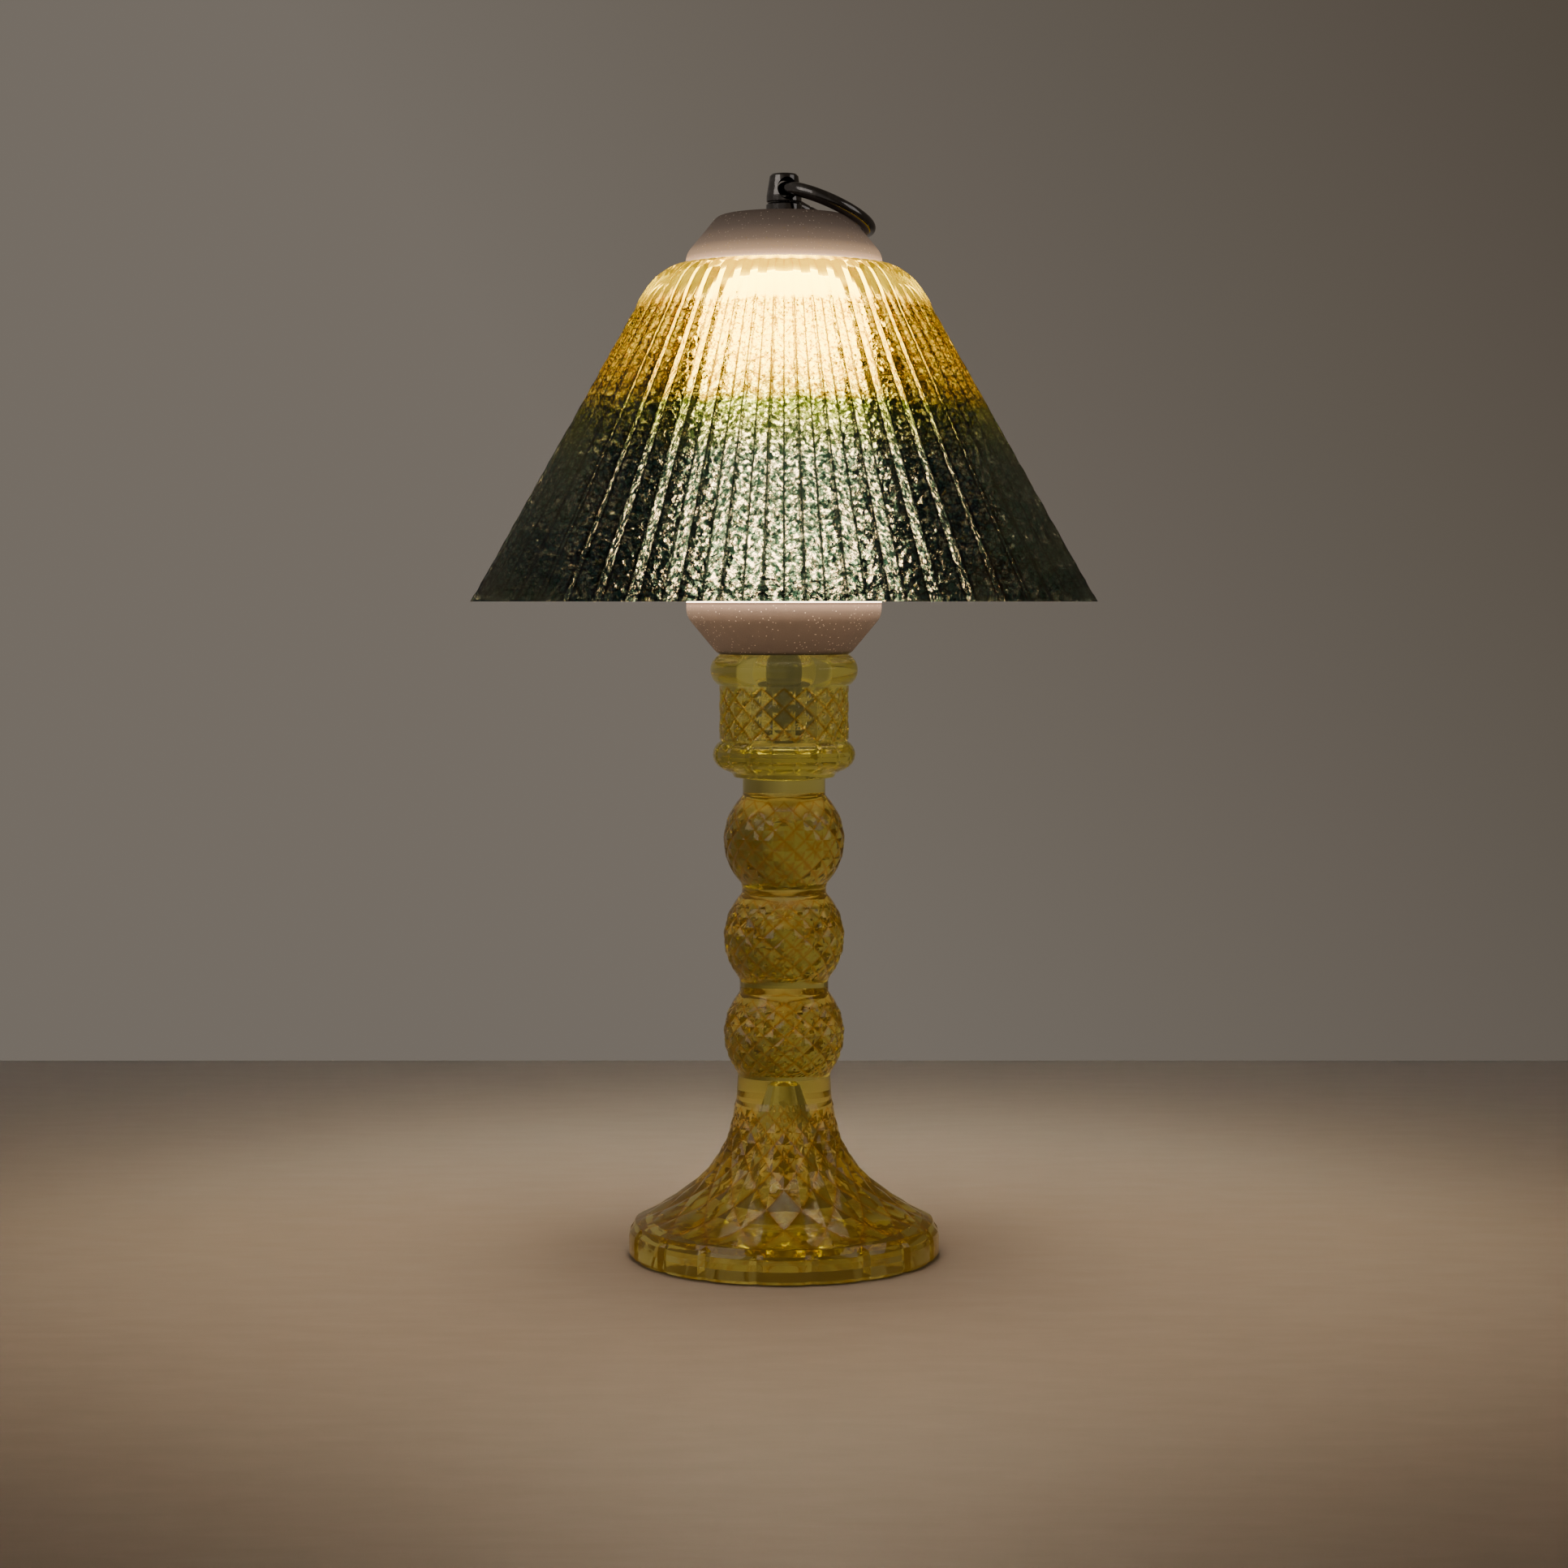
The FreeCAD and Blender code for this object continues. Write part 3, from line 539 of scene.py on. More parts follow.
class Lathe:
    """Joins rings, whose steps may differ in number, into one closed skin."""

    def __init__(self) -> None:
        """Starts with no points."""
        self.points: list[Point] = []
        self.faces: list[tuple[int, ...]] = []
        self.marks: list[float] = []
        self.last: list[int] = []

    def pole(self, height: float) -> None:
        """Adds a point on the axis, closing the skin there."""
        self.points.append((0.0, 0.0, height * MM))
        self.marks.append(0.0)
        tip = len(self.points) - 1
        if self.last:
            count = len(self.last)
            self.faces.extend((self.last[i], self.last[(i + 1) % count], tip) for i in range(count))
            self.last = []
        else:
            self.last = [tip]

    def add(self, ring: Ring, cut_row: int = 0) -> None:
        """Adds a ring and joins it to the one before.

        Args:
            ring: the ring.
            cut_row: its row in a band of cutting, so that its edges follow the ribs.
        """
        first = len(self.points)
        count = len(ring.radii)
        self.points.extend(ring.point(i) for i in range(count))
        self.marks.extend(ring.marks or [0.0] * count)
        fresh = list(range(first, first + count))
        if len(self.last) == 1:
            self.faces.extend((self.last[0], fresh[(i + 1) % count], fresh[i]) for i in range(count))
        elif self.last:
            self.join(self.last, fresh, cut_row - 1)
        self.last = fresh

    def join(self, low: list[int], high: list[int], row: int = 0) -> None:
        """Joins two rings, with a fan on each edge of the coarser one, and edges along any ribs."""
        if len(low) == len(high):
            count = len(low)
            for i in range(count):
                j = (i + 1) % count
                if (i + 1 + row) % (2 * HALF_CUT) == 0:
                    self.faces.extend([(low[i], low[j], high[i]), (low[j], high[j], high[i])])
                else:
                    self.faces.extend([(low[i], low[j], high[j]), (low[i], high[j], high[i])])
            return
        coarse_is_low = len(low) < len(high)
        coarse, fine = (low, high) if coarse_is_low else (high, low)
        share = len(fine) // len(coarse)
        for i in range(len(coarse)):
            j = (i + 1) % len(coarse)
            fan = [fine[(i * share + k) % len(fine)] for k in range(share + 1)]
            half = share // 2
            triangles = [(coarse[i], fan[k + 1], fan[k]) for k in range(half)]
            triangles.append((coarse[i], coarse[j], fan[half]))
            triangles.extend((coarse[j], fan[k + 1], fan[k]) for k in range(half, share))
            self.faces.extend(triangles if coarse_is_low else [t[::-1] for t in triangles])

    def close_loop(self, first: list[int]) -> None:
        """Joins the last ring back to the first one."""
        self.join(self.last, first)
        self.last = []

    def piece(self, name: str, sharp_deg: float) -> bpy.types.Object:
        """Makes the object, with edges sharper than an angle kept crisp."""
        return mesh_piece(name, self.points, self.faces, sharp_deg)


def mesh_piece(name: str, points: list[Point], faces: list[tuple[int, ...]],
               sharp_deg: float = 30.0) -> bpy.types.Object:
    """Makes a smooth-shaded object with crisp edges.

    Args:
        name: the piece's name.
        points: corners in metres.
        faces: faces that point outwards.
        sharp_deg: edges that turn by more than this stay crisp.

    Returns:
        The linked object.
    """
    mesh = bpy.data.meshes.new(name)
    mesh.from_pydata(points, [], faces)
    mesh.validate()
    mesh.shade_smooth()
    mesh.set_sharp_from_angle(angle=math.radians(sharp_deg))
    piece = bpy.data.objects.new(name, mesh)
    bpy.context.scene.collection.objects.link(piece)
    return piece


def dress(piece: bpy.types.Object, material: bpy.types.Material) -> None:
    """Gives every slot of a piece one material."""
    if not piece.data.materials:
        piece.data.materials.append(material)
    for slot in piece.material_slots:
        slot.material = material


def stand_in(piece: bpy.types.Object, body: str, node: str) -> None:
    """Puts a piece in a CAD node's place."""
    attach(piece, body)
    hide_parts(node)
    log.info("%s stands for %s on %s", piece.name, node, body)


# ---- Candlestick ----
@dataclass
class Candlestick:
    """Pressed glass stick: a fluted hollow foot, three cut balls and a cut candle cup."""
    round_steps: int = 2 * LOBES * HALF_CUT
    foot_rad: float = 19.3
    rim_rings: tuple[Point, ...] = (        # how far in from foot_rad, height and depth of the notches
        (0.9, 0.0, 0.2), (0.3, 0.12, 0.35), (0.0, 0.5, 0.42), (0.0, 2.5, 0.42), (0.15, 3.1, 0.42),
        (0.5, 3.6, 0.3))
    rim_power: float = 8.0
    foot_cut: float = 0.44
    foot_cut_loss: float = 0.24
    foot_top: float = 19.4
    flare_reach: float = 12.75
    flare_falls: tuple[float, float] = (0.15, 0.0062)
    groove_power: int = 5
    sharp_deg: float = 10.0
    cut_power: float = 1.5
    foot_rows: tuple[float, ...] = (4.2, 5.9, 7.8, 9.8, 11.6, 13.2, 14.7, 16.1, 17.4, 18.6)
    ball_rad: float = 7.5
    ball_heights: tuple[float, ...] = (27.5, 39.5, 51.5)
    neck_rads: tuple[float, ...] = (5.75, 5.5, 5.2, 5.1)
    ball_cut: tuple[float, ...] = (0.28, 0.26, 0.13)
    ball_rows: int = 10
    ball_margins_deg: tuple[float, float] = (1.5, 5.5)
    neck_fillet: float = 0.15
    neck_below: float = 0.35
    neck_swell: float = 0.12
    neck_tuck: float = 0.05
    cup_top: float = 74.37
    cup_base: float = 59.2
    cup_below: float = 0.1
    cup_foot: Outline = ((6.2, 0.15), (6.4, 0.6))       # radius and rise above cup_base
    cup_rad: float = 8.0
    cup_cut: float = 0.30
    cup_power: float = 2.2
    cup_rows: tuple[float, ...] = (64.1, 65.4, 66.7, 68.0, 69.2, 70.4)
    collar_centre: tuple[float, float] = (6.55, 62.1)
    collar_reach: tuple[float, float] = (2.25, 2.0)
    collar_span_deg: tuple[float, float] = (-62.0, 56.0)
    collar_rings: int = 9
    collar_notch: float = 0.16
    collar_power: float = 10.0
    bead_centre: tuple[float, float] = (6.9, 72.5)
    bead_rad: float = 2.2
    bead_span_deg: tuple[float, float] = (-60.0, 62.0)
    bead_rings: int = 15
    lip_rad: float = 7.3
    bore_rad: float = 3.9
    bore_floor: float = 63.4
    bore_chamfer: float = 0.4
    bore_fillet: float = 0.5
    hollow_tip: float = 22.0
    hollow_outline: Outline = (
        (0.8, 21.8), (1.3, 21.2), (2.4, 16.2), (3.4, 12.2), (3.9, 11.0), (4.9, 9.2), (6.2, 7.3), (8.0, 5.3),
        (10.2, 3.8), (12.8, 2.7), (15.2, 2.1), (15.9, 1.2), (16.2, 0.0))
    finish: CutGlass = field(default_factory=CutGlass)

    def flare(self, height: float) -> float:
        """Radius of the foot's flare at a height."""
        over = max(height - self.foot_rows[0], 0.0)
        first, second = self.flare_falls
        return self.neck_rads[0] + self.flare_reach * math.exp(-first * over - second * over * over)

    def cut_ring(self, radius: float, height: float, row: int, depth: float, power: float) -> Ring:
        """A row of the diamond cutting, where a higher power gives flatter diamonds and narrower grooves."""
        span = 2 * HALF_CUT
        radii, marks = [], []
        for i in range(self.round_steps):
            to_left = abs((i + row + HALF_CUT) % span - HALF_CUT)
            to_right = abs((i - row + HALF_CUT) % span - HALF_CUT)
            edge = 1 - min(to_left, to_right) / HALF_CUT
            radii.append(radius - depth * edge ** power)
            marks.append(edge ** self.groove_power)
        return Ring(height, radii, marks)

    def cut_band(self, lathe: Lathe, heights: list[float], outline: Callable[[float], float],
                 depth: Callable[[float], float], power: float) -> None:
        """Adds a band of diamond cutting.

        Args:
            lathe: gets the band.
            heights: the heights of the rows of corners.
            outline: gives the radius at a height.
            depth: gives the cut's depth at a place from 0, the band's foot, to 1, its top.
            power: how flat the diamonds are.
        """
        last = (len(heights) - 1) * HALF_CUT
        for row in range(last + 1):
            k, part = divmod(row, HALF_CUT)
            above = heights[min(k + 1, len(heights) - 1)]
            height = heights[k] + (above - heights[k]) * part / HALF_CUT
            lathe.add(self.cut_ring(outline(height), height, row, depth(row / last), power), row)

    def foot(self, lathe: Lathe) -> None:
        """The scalloped rim and the cut flare."""
        for inset, height, notch in self.rim_rings:
            lathe.add(lobed_ring(self.foot_rad - inset, height, notch, self.rim_power, self.round_steps))
        self.cut_band(lathe, list(self.foot_rows), self.flare,
                      lambda t: fade(t, 20, 5) * (self.foot_cut - self.foot_cut_loss * t), self.cut_power)

    def ball(self, lathe: Lathe, centre: float, low: float, high: float, depth: float) -> None:
        """One cut ball between two plain necks.

        Args:
            lathe: gets the ball.
            centre: the height of its middle.
            low: the radius of the neck below.
            high: the radius of the neck above.
            depth: how deep the cutting is.
        """
        steps = self.round_steps // 2
        low_lat = -math.degrees(math.acos(low / self.ball_rad))
        high_lat = math.degrees(math.acos(high / self.ball_rad))
        foot = centre + self.ball_rad * math.sin(math.radians(low_lat))
        top = centre + self.ball_rad * math.sin(math.radians(high_lat))
        lathe.add(plain_ring(low, foot - self.neck_below, steps))
        first, last = low_lat + self.ball_margins_deg[0], high_lat - self.ball_margins_deg[1]
        lats = [first + (last - first) * k / (self.ball_rows - 1) for k in range(self.ball_rows)]
        heights = [centre + self.ball_rad * math.sin(math.radians(lat)) for lat in lats]
        self.cut_band(lathe, heights, lambda z: math.sqrt(self.ball_rad ** 2 - (z - centre) ** 2),
                      lambda t: depth * fade(t, 8, 4), self.cut_power)
        lathe.add(plain_ring(high + self.neck_swell, top - self.neck_tuck, steps))
        lathe.add(plain_ring(high, top + self.neck_fillet, steps))

    def balls(self, lathe: Lathe) -> None:
        """Three cut balls on plain necks."""
        lathe.add(plain_ring(self.neck_rads[0] + self.neck_fillet, self.foot_top, self.round_steps // 2))
        necks = zip(self.neck_rads, self.neck_rads[1:])
        for centre, (low, high), depth in zip(self.ball_heights, necks, self.ball_cut):
            self.ball(lathe, centre, low, high, depth)

    def cup(self, lathe: Lathe) -> None:
        """The panelled collar, the cut wall, the plain bead and the bore."""
        steps = self.round_steps
        lathe.add(plain_ring(self.neck_rads[-1], self.cup_base - self.cup_below, steps))
        for radius, rise in self.cup_foot:
            lathe.add(plain_ring(radius, self.cup_base + rise, steps))
        first, last = self.collar_span_deg
        for k in range(self.collar_rings):
            lat = math.radians(first + (last - first) * k / (self.collar_rings - 1))
            radius = self.collar_centre[0] + self.collar_reach[0] * math.cos(lat)
            height = self.collar_centre[1] + self.collar_reach[1] * math.sin(lat)
            lathe.add(lobed_ring(radius, height, self.collar_notch, self.collar_power, steps))
        self.cut_band(lathe, list(self.cup_rows), lambda z: self.cup_rad,
                      lambda t: self.cup_cut * fade(t, 8, 8), self.cup_power)
        for ring in arc_rings(self.bead_centre, self.bead_rad, *self.bead_span_deg, self.bead_rings, steps):
            lathe.add(ring)
        mouth, chamfer, fillet = self.cup_top, self.bore_chamfer, self.bore_fillet
        for radius, height in ((self.lip_rad, mouth), (self.bore_rad + chamfer, mouth),
                               (self.bore_rad, mouth - chamfer), (self.bore_rad, self.bore_floor + fillet),
                               (self.bore_rad - fillet, self.bore_floor)):
            lathe.add(plain_ring(radius, height, steps // 2))
        lathe.pole(self.bore_floor)

    def hollow(self, lathe: Lathe) -> None:
        """The hollow under the foot, from its tip down to the flat that the lamp stands on."""
        lathe.pole(self.hollow_tip)
        for radius, height in self.hollow_outline:
            lathe.add(plain_ring(radius, height, self.round_steps // 2))

    def build(self) -> bpy.types.Object:
        """Makes the glass piece in the candlestick's place."""
        lathe = Lathe()
        self.hollow(lathe)
        self.foot(lathe)
        self.balls(lathe)
        self.cup(lathe)
        piece = lathe.piece("cut_candlestick", self.sharp_deg)
        # The groove marks place the glass's painted groove shade and painted glow.
        piece.data.attributes.new("groove", "FLOAT", "POINT").data.foreach_set("value", lathe.marks)
        dress(piece, self.finish.build())
        stand_in(piece, "stick", "candlestick")
        return piece


# ---- Light capsule ----
@dataclass
class LightCapsule:
    """Frosted shell and cap with softened edges, each a closed wall."""
    steps: int = 128
    rad: float = 12.0
    end_rad: float = 8.1
    wall: float = 1.5
    base: float = 74.4
    cone: float = 4.7
    cone_inside: float = 5.3
    top: float = 127.8
    split: float = 116.5
    lap_rad: float = 11.2
    seat: float = 119.4
    groove_rad: float = 11.62
    groove_heights: tuple[float, ...] = (119.75, 120.1, 120.6, 120.95)
    spigot_hole_rad: float = 2.32
    swivel_hole_rad: float = 1.32
    knee_reach: float = 0.9
    brow_reach: float = 0.7
    lap_gap: float = 0.1
    lap_ceiling: float = 0.85
    curve_steps: int = 5
    sharp_deg: float = 35.0
    finish: FrostedGlow = field(default_factory=FrostedGlow)

    def soft_corner(self, before: tuple[float, float], corner: tuple[float, float],
                    after: tuple[float, float], reach: float) -> list[tuple[float, float]]:
        """Rounds a corner of the outline with a short curve.

        Args:
            before: the point before the corner, as radius and height.
            corner: the corner.
            after: the point after it.
            reach: how far along each side the curve starts.

        Returns:
            The points of the curve.
        """
        here = Vector(corner)
        start = here + (Vector(before) - here).normalized() * reach
        end = here + (Vector(after) - here).normalized() * reach
        curve = []
        for k in range(self.curve_steps + 1):
            t = k / self.curve_steps
            spot = start * (1 - t) ** 2 + here * (2 * t * (1 - t)) + end * t ** 2
            curve.append((spot.x, spot.y))
        return curve

    def closed_wall(self, name: str, outline: list[tuple[float, float]]) -> bpy.types.Object:
        """Turns a closed outline, given anticlockwise as radius and height, into a piece."""
        lathe = Lathe()
        for radius, height in outline:
            lathe.add(plain_ring(radius, height, self.steps))
        lathe.close_loop(list(range(self.steps)))
        return lathe.piece(name, self.sharp_deg)

    def shell_outline(self) -> list[tuple[float, float]]:
        """The lower shell."""
        foot, knee = (self.end_rad, self.base), (self.rad, self.base + self.cone)
        inside = self.rad - self.wall
        outline = [(self.spigot_hole_rad, self.base)]
        outline += self.soft_corner((self.spigot_hole_rad, self.base), foot, knee, self.brow_reach)
        outline += self.soft_corner(foot, knee, (self.rad, self.split), self.knee_reach)
        outline += [(self.rad, self.split), (self.lap_rad, self.split), (self.lap_rad, self.seat),
                    (inside, self.seat), (inside, self.base + self.cone_inside),
                    (self.end_rad - self.wall, self.base + self.wall),
                    (self.spigot_hole_rad, self.base + self.wall)]
        return outline

    def cap_outline(self) -> list[tuple[float, float]]:
        """The upper cap."""
        knee, brow = (self.rad, self.top - self.cone), (self.end_rad, self.top)
        inside, lap, ceiling = self.rad - self.wall, self.lap_rad + self.lap_gap, self.seat + self.lap_ceiling
        low, low_in, high_in, high = self.groove_heights
        outline = [(lap, self.split), (self.rad, self.split), (self.rad, low), (self.groove_rad, low_in),
                   (self.groove_rad, high_in), (self.rad, high)]
        outline += self.soft_corner((self.rad, self.split), knee, brow, self.knee_reach)
        outline += self.soft_corner(knee, brow, (0.0, self.top), self.brow_reach)
        outline += [(self.swivel_hole_rad, self.top), (self.swivel_hole_rad, self.top - self.wall),
                    (self.end_rad - self.wall, self.top - self.wall), (inside, self.top - self.cone),
                    (inside, ceiling), (lap, ceiling)]
        return outline

    def build(self) -> None:
        """Makes the shell and the cap."""
        frost = self.finish.build()
        for name, outline, node in (("frosted_shell", self.shell_outline(), "capsule_shell"),
                                    ("frosted_cap", self.cap_outline(), "capsule_cap")):
            piece = self.closed_wall(name, outline)
            dress(piece, frost)
            stand_in(piece, "light", node)


# ---- Shade ----
class PleatTree:
    """Geometry nodes that fold a plain turned wall into pleats and press a relief into it."""

    def __init__(self) -> None:
        """Builds the node tree with its named inputs."""
        self.tree = bpy.data.node_groups.new("pleat_and_press", "GeometryNodeTree")
        self.graph = NodeGraph(self.tree)
        face = self.tree.interface
        for name, kind in (("Geometry", "Geometry"), ("Pleats", "Float"), ("Valley Share", "Float"),
                           ("Dent Size", "Float"), ("Dent Depth", "Float"), ("Material", "Material")):
            face.new_socket(name=name, in_out="INPUT", socket_type=f"NodeSocket{kind}")
        face.new_socket(name="Geometry", in_out="OUTPUT", socket_type="NodeSocketGeometry")
        self.make()

    def make(self) -> None:
        """Wires the tree."""
        graph = self.graph
        given = graph.node("NodeGroupInput").outputs
        place = graph.node("GeometryNodeInputPosition").outputs[0]
        split = graph.node("ShaderNodeSeparateXYZ", inputs={0: place})
        x, y = graph.value(split.outputs["X"]), graph.value(split.outputs["Y"])
        angle = x.math("ARCTAN2", y, x)
        fold = (angle / (2 * math.pi) * given["Pleats"]).ping_pong(0.5) * 2.0
        folding = graph.node("GeometryNodeInputNamedAttribute", {"data_type": "FLOAT"}, {"Name": "folding"})
        pressing = graph.node("GeometryNodeInputNamedAttribute", {"data_type": "FLOAT"}, {"Name": "pressing"})
        per_metre = x.math("DIVIDE", 1.0, given["Dent Size"])
        cells = graph.node("ShaderNodeTexVoronoi", {"feature": "SMOOTH_F1"}, {
            "Vector": place, "Scale": per_metre})
        dent = graph.value(cells.outputs["Distance"]).clamped() * given["Dent Depth"]
        share = 1.0 - fold * (1.0 - graph.value(given["Valley Share"])) * folding.outputs[0]
        radius = (x * x + y * y).math("SQRT", x * x + y * y)
        scale = share - dent * pressing.outputs[0] / radius
        moved = graph.node("ShaderNodeCombineXYZ", inputs={0: x * scale, 1: y * scale, 2: split.outputs["Z"]})
        shift = graph.node("GeometryNodeSetPosition", inputs={
            "Geometry": given["Geometry"], "Position": moved.outputs[0]})
        whole = graph.node("GeometryNodeRealizeInstances", inputs={0: shift.outputs[0]})
        dressed = graph.node("GeometryNodeSetMaterial", inputs={
            "Geometry": whole.outputs[0], "Material": given["Material"]})
        graph.node("NodeGroupOutput", inputs={0: dressed.outputs[0]})

    def apply(self, piece: bpy.types.Object, **values: object) -> None:
        """Runs the tree on a piece and keeps the plain mesh that it gives.

        Args:
            piece: the object to change.
            values: the tree's inputs, with underscores for spaces.
        """
        inputs = [item for item in self.tree.interface.items_tree if item.in_out == "INPUT"]
        names = {item.name: item.identifier for item in inputs}
        modifier = piece.modifiers.new("pleats", "NODES")
        modifier.node_group = self.tree
        for name, value in values.items():
            modifier[names[name.replace("_", " ")]] = value
        bpy.context.view_layer.update()
        evaluated = piece.evaluated_get(bpy.context.evaluated_depsgraph_get())
        mesh = bpy.data.meshes.new_from_object(evaluated)
        piece.modifiers.clear()
        piece.data = mesh


@dataclass
class Level:
    """One level of the shade's wall: how far it folds into pleats and how deep it is pressed."""
    radius: float
    height: float
    steps: int
    fold: float = 0.0
    press: float = 0.0


@dataclass
class PleatedShade:
    """The pleated shade: a plain round shoulder over a pressed cone."""
    pleats: int = 50
    steps_per_pleat: int = 10
    cone_rows: int = 96
    inner_rows: int = 24
    inner_fold: float = 0.5
    valley_share: float = 0.966
    low_rad: float = 38.4
    low: float = 80.9
    break_rad: float = 18.0
    break_height: float = 117.0
    hem: float = 1.0
    wall: float = 0.8
    hole_rad: float = 12.2
    dent_size: float = 1.15
    dent_depth: float = 0.18
    dent_fade: float = 0.6
    collar_top: float = 121.7
    shoulder: Outline = (
        (17.6, 117.8), (17.2, 118.4), (16.8, 119.0), (16.35, 119.6), (15.8, 120.2), (15.2, 120.7),
        (14.4, 121.25), (13.5, 121.65))
    inner_shoulder: Outline = ((13.0, 120.8), (15.2, 118.9))
    inner_break: float = 116.7
    wall_sharp_deg: float = 24.0
    pleat_sharp_deg: float = 28.0
    finish: PressedShade = field(default_factory=PressedShade)

    def outside(self) -> Iterator[Level]:
        """The outer wall from the hem to the collar's edge."""
        steps = self.pleats * self.steps_per_pleat
        for k in range(self.cone_rows + 1):
            t = k / self.cone_rows
            height = self.low + (self.break_height - self.low) * t
            radius = self.low_rad + (self.break_rad - self.low_rad) * t
            faded = min((self.break_height - height) / self.dent_fade, 1.0)
            yield Level(radius, height, steps, 1.0, 0.0 if height < self.low + self.hem else faded)
        for k, (radius, height) in enumerate(self.shoulder):
            yield Level(radius, height, steps, 1.0 - (k / len(self.shoulder)) ** 3)
        yield Level(self.hole_rad, self.collar_top, steps)

    def inside(self) -> Iterator[Level]:
        """The inner wall from the collar's edge to the hem, with shallower pleats."""
        steps = self.pleats * self.steps_per_pleat
        yield Level(self.hole_rad, self.collar_top - self.wall, steps // 2)
        for radius, height in self.inner_shoulder:
            yield Level(radius, height, steps // 2)
        inner_share = 1.0 - (1.0 - self.valley_share) * self.inner_fold
        for k in range(self.inner_rows + 1):
            t = k / self.inner_rows
            height = self.inner_break + (self.low - self.inner_break) * t
            radius = self.break_rad + (self.low_rad - self.break_rad) * t
            yield Level(radius * inner_share - self.wall, height, steps, self.inner_fold)

    def wall_piece(self) -> bpy.types.Object:
        """The plain turned wall, which carries how far each point folds and is pressed."""
        lathe = Lathe()
        folding: list[float] = []
        pressing: list[float] = []
        for level in (*self.outside(), *self.inside()):
            lathe.add(plain_ring(level.radius, level.height, level.steps))
            folding.extend([level.fold] * level.steps)
            pressing.extend([level.press] * level.steps)
        lathe.close_loop(list(range(self.pleats * self.steps_per_pleat)))
        piece = lathe.piece("pleated_shade", self.wall_sharp_deg)
        for name, values in (("folding", folding), ("pressing", pressing)):
            piece.data.attributes.new(name, "FLOAT", "POINT").data.foreach_set("value", values)
        return piece

    def build(self) -> bpy.types.Object:
        """Makes the shade in its node's place."""
        piece = self.wall_piece()
        material = self.finish.build()
        PleatTree().apply(piece, Pleats=float(self.pleats), Valley_Share=self.valley_share,
                          Dent_Size=self.dent_size * MM, Dent_Depth=self.dent_depth * MM, Material=material)
        piece.data.shade_smooth()
        piece.data.set_sharp_from_angle(angle=math.radians(self.pleat_sharp_deg))
        dress(piece, material)
        stand_in(piece, "shade", "shade")
        return piece


# ---- Ring and the carried-over pieces ----
@dataclass
class HangRing:
    """The round wire ring, closed at a faint butt joint."""
    rad: float = 5.75
    wire: float = 0.85
    droop_deg: float = 24.0
    heading_deg: float = 14.0
    eye_height: float = 131.1
    steps: int = 160
    wire_steps: int = 28
    joint_deg: float = 2.2
    joint_at_deg: float = 100.0
    joint_share: float = 0.93

    def wire_rad(self, round_deg: float) -> float:
        """Radius of the wire at a place round the ring, a little less at the joint."""
        at_joint = abs(round_deg - self.joint_at_deg) < self.joint_deg / 2
        return self.wire * (self.joint_share if at_joint else 1.0)

    def build(self, metal: bpy.types.Material) -> bpy.types.Object:
        """Makes the ring in its node's place."""
        droop, heading = math.radians(self.droop_deg), math.radians(self.heading_deg)
        points: list[Point] = []
        faces: list[tuple[int, ...]] = []
        for i in range(self.steps):
            round_deg = 360.0 * i / self.steps
            wire = self.wire_rad(round_deg)
            angle = math.radians(round_deg)
            for j in range(self.wire_steps):
                turn = 2 * math.pi * j / self.wire_steps
                reach = self.rad + wire * math.cos(turn)
                local = (reach * math.cos(angle) + self.rad, reach * math.sin(angle), wire * math.sin(turn))
                out = local[0] * math.cos(droop) + local[2] * math.sin(droop)
                up = -local[0] * math.sin(droop) + local[2] * math.cos(droop) + self.eye_height
                points.append((MM * (out * math.cos(heading) - local[1] * math.sin(heading)),
                               MM * (out * math.sin(heading) + local[1] * math.cos(heading)), MM * up))
                near, far = i * self.wire_steps, ((i + 1) % self.steps) * self.wire_steps
                k = (j + 1) % self.wire_steps
                faces.append((near + j, far + j, far + k, near + k))
        piece = mesh_piece("wire_ring", points, faces)
        dress(piece, metal)
        stand_in(piece, "ring", "hang_ring")
        return piece


@dataclass
class CarriedPieces:
    """CAD pieces whose shape is kept and whose finish is improved."""
    finishes: dict[str, Inner] = field(default_factory=lambda: {
        "shade_seat_ring": Inner.SILICONE, "spigot": Inner.DARK_CHROME, "switch_plunger": Inner.BLACK,
        "switch_stem": Inner.BLACK, "tact_switch": Inner.BLACK, "control_board": Inner.BOARD,
        "cell_holder": Inner.BLACK, "coin_cell": Inner.NICKEL, "negative_contact": Inner.BRASS,
        "positive_clip": Inner.BRASS, "lead_wire_positive": Inner.BRASS, "lead_wire_negative": Inner.BRASS,
        "led_board": Inner.BOARD, "leds": Inner.PHOSPHOR, "driver_components": Inner.BLACK,
        "swivel_base": Inner.DARK_CHROME, "swivel_washer": Inner.NICKEL, "swivel_nut": Inner.NICKEL,
        "swivel_pin": Inner.DARK_CHROME, "swivel_head": Inner.DARK_CHROME,
    })

    def dress(self, nodes: dict[str, bpy.types.Object]) -> dict[Inner, bpy.types.Material]:
        """Gives each carried CAD node its finish and returns the materials made."""
        made: dict[Inner, bpy.types.Material] = {}
        for node, finish in self.finishes.items():
            if finish not in made:
                made[finish] = finish.value.build()
            dress(nodes[node], made[finish])
            log.info("%s keeps its shape, in %s", node, made[finish].name)
        return made


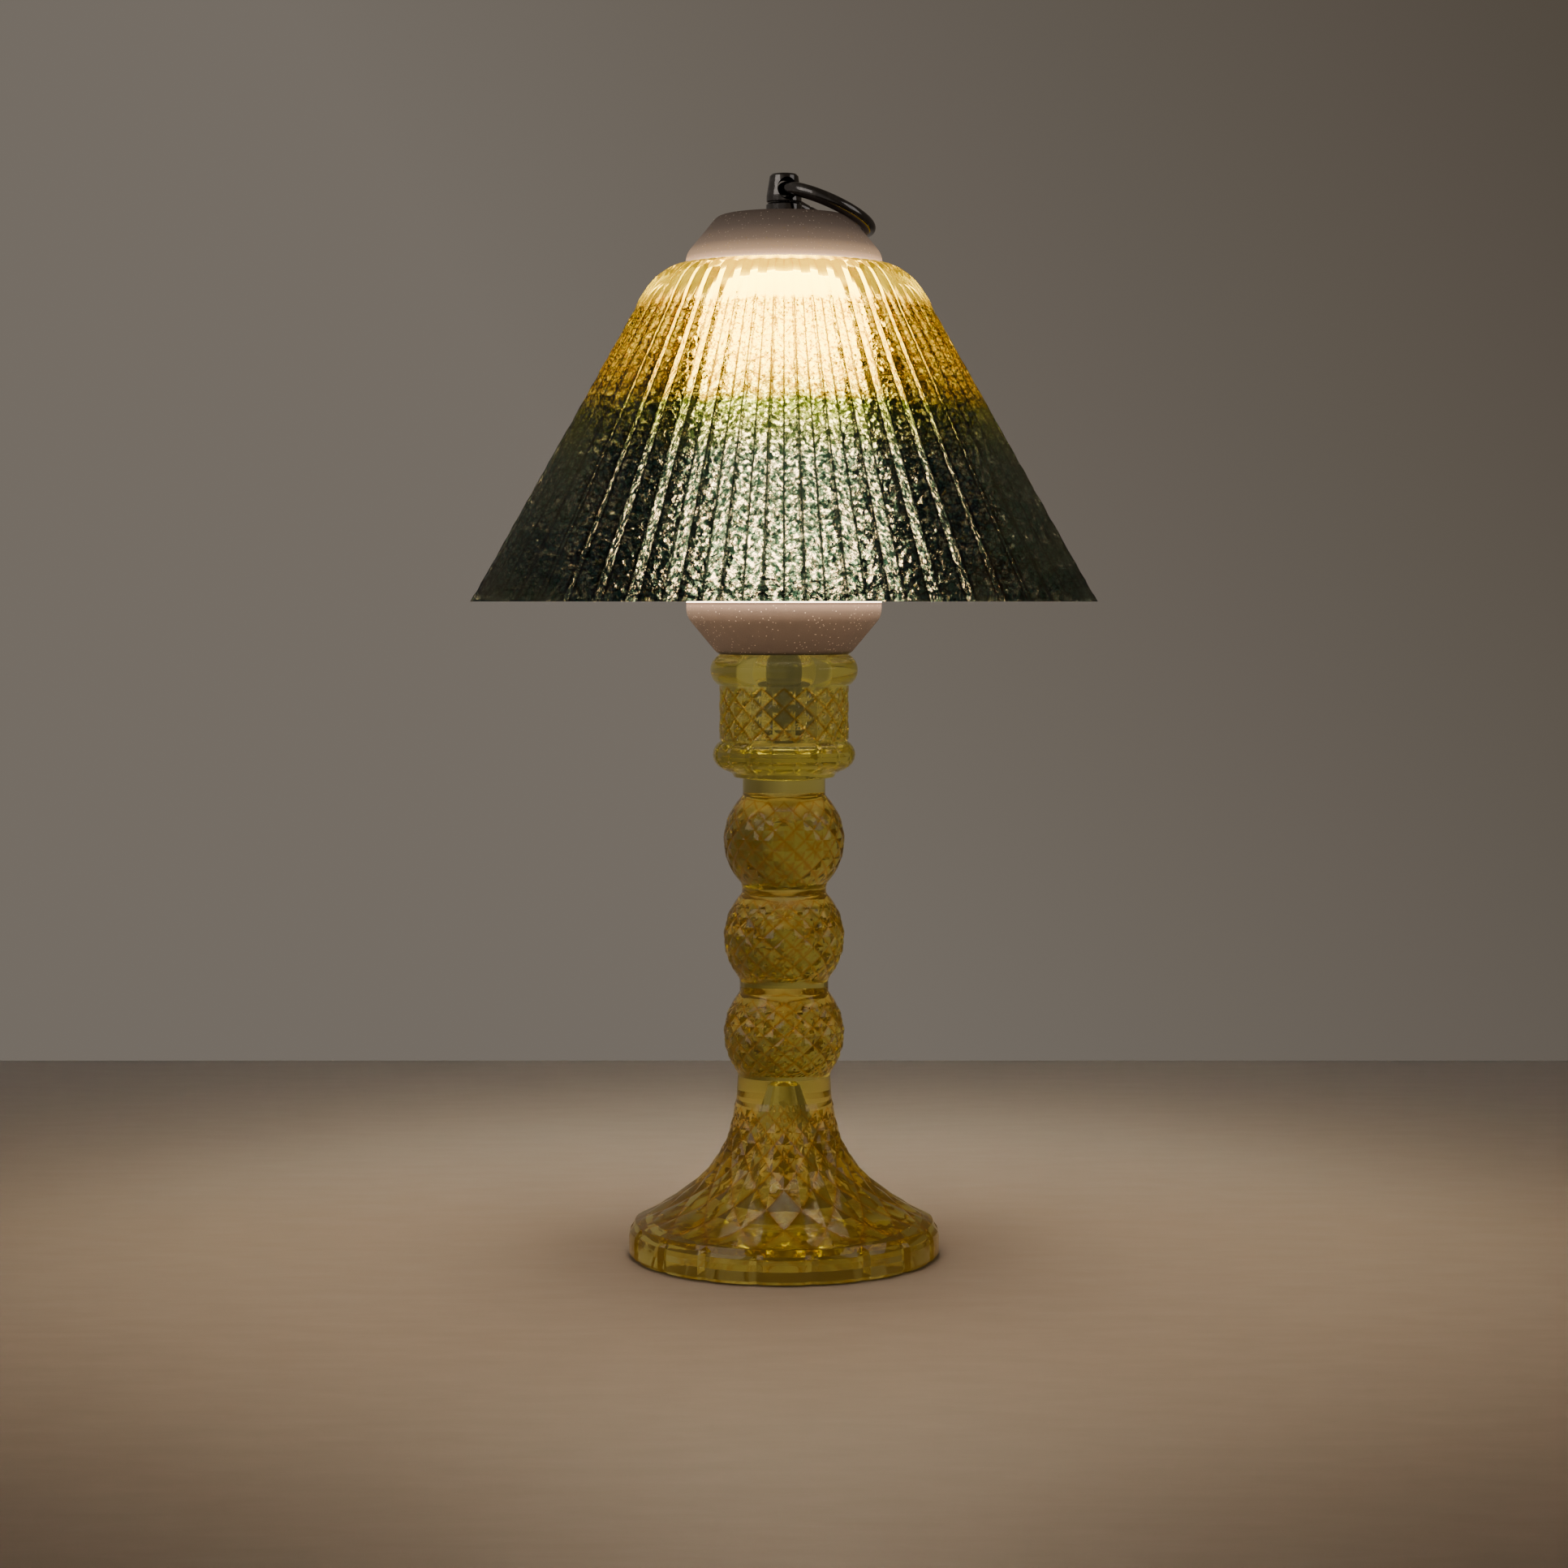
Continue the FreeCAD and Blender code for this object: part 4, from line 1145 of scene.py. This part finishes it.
# ---- Studio ----
@dataclass
class Studio:
    """Floor, soft lights, surroundings and camera."""
    eye: Point = (0.0, -374.0, 80.9)
    pitch_deg: float = -3.44
    lens: float = 69.7
    floor_side: float = 900.0
    floor_back: float = 158.0
    floor_gap: float = 0.02
    pool_size: float = 70.0
    pool_height: float = 80.5
    pool_power: float = 0.06
    floor_span: float = 300.0
    floor_painted_shade: tuple[Colour, ...] = ((0.32, 0.32, 0.32), (0.25, 0.212, 0.182), (0.20, 0.166, 0.138),
                                         (0.15, 0.127, 0.104))
    wall_colour: Colour = (0.180, 0.157, 0.131)
    wall_dim: Colour = (0.078, 0.063, 0.047)
    pool_colour: Colour = (1.0, 0.75, 0.54)
    aim_height: float = 60.0
    matt: float = 0.58
    grain_mm: float = 0.12

    def camera(self) -> None:
        """Places the camera level with the shade's rim, looking slightly down."""
        data = bpy.data.cameras.new("camera")
        data.lens = self.lens
        data.clip_start = 0.01
        camera = bpy.data.objects.new("camera", data)
        camera.location = [v * MM for v in self.eye]
        camera.rotation_euler = (math.radians(90 + self.pitch_deg), 0, 0)
        bpy.context.scene.collection.objects.link(camera)
        bpy.context.scene.camera = camera

    def floor(self) -> None:
        """A pale table top with a fine embossed grain, painted darker from back to front as painted shade."""
        side, back = self.floor_side * MM / 2, self.floor_back * MM
        front = back - self.floor_side * MM
        top = -self.floor_gap * MM
        points = [(-side, front, top), (side, front, top), (side, back, top), (-side, back, top)]
        piece = mesh_piece("table_top", points, [(0, 1, 2, 3)])
        shader = Shader("pale_table")
        grain = shader.noise(0.3, 3.0, shader.stretched((0.35, 1.0, 1.0)))
        # Painted shade: the table top's colour darkens towards the front.
        forward = (self.floor_back - shader.axis("Y") / MM) / self.floor_span
        far, middle, close, near = self.floor_painted_shade
        colour = shader.ramp(forward + grain * 0.06, [(0.0, far), (0.5, middle), (0.72, close), (0.97, near)])
        shader.set(Base_Color=colour, Roughness=(self.matt + grain * 0.15), Specular_IOR_Level=0.25)
        shader.bump(grain, self.grain_mm, 0.5)
        dress(piece, shader.material)

    def soft_light(self, name: str, place: Point, size: float, power: float, colour: Colour) -> None:
        """Adds a square soft light that faces the middle of the lamp."""
        data = bpy.data.lights.new(name, "AREA")
        data.size = size * MM
        data.energy = power
        data.color = colour
        light = bpy.data.objects.new(name, data)
        light.location = [v * MM for v in place]
        aim = Vector((0, 0, self.aim_height * MM)) - light.location
        light.rotation_euler = aim.to_track_quat("-Z", "Y").to_euler()
        bpy.context.scene.collection.objects.link(light)

    def surroundings(self) -> None:
        """A warm grey all round, dimmer to the right."""
        world = bpy.data.worlds.new("surroundings")
        world.use_nodes = True
        world.node_tree.nodes.clear()
        graph = NodeGraph(world.node_tree)
        way = graph.node("ShaderNodeTexCoord").outputs["Generated"]
        split = graph.node("ShaderNodeSeparateXYZ", inputs={0: way})
        right = graph.value(split.outputs["X"])
        dim = (right * 2.2 + graph.value(split.outputs["Z"]) * 1.3 + 0.10).clamped()
        shade = mixed(graph, dim, self.wall_colour, self.wall_dim)
        paint = graph.node("ShaderNodeBackground", inputs={"Color": shade})
        graph.node("ShaderNodeOutputWorld", inputs={"Surface": paint.outputs[0]})
        bpy.context.scene.world = world

    def build(self) -> None:
        """Sets the whole stage."""
        self.camera()
        self.floor()
        self.surroundings()
        self.soft_light("soft_left", (-460, -320, 420), 420, 0.52, (1.0, 0.93, 0.84))
        self.soft_light("soft_right", (480, -160, 320), 340, 0.25, (1.0, 0.95, 0.88))
        self.downlight()

    def downlight(self) -> None:
        """The lamp's own light that leaves the open bottom of the shade."""
        data = bpy.data.lights.new("lamp_light", "AREA")
        data.shape = "DISK"
        data.size = self.pool_size * MM
        data.energy = self.pool_power
        data.color = self.pool_colour
        light = bpy.data.objects.new("lamp_light", data)
        light.location = (0, 0, self.pool_height * MM)
        light.visible_glossy = False
        light.visible_transmission = False
        bpy.context.scene.collection.objects.link(light)


def main() -> None:
    """Builds the lamp and its stage in order."""
    logging.basicConfig(level=logging.INFO, format="%(name)s: %(message)s")
    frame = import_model()
    Studio().build()
    Candlestick().build()
    LightCapsule().build()
    PleatedShade().build()
    metals = CarriedPieces().dress(frame["nodes"])
    HangRing().build(metals[Inner.DARK_CHROME])


if __name__ == "__main__":
    main()
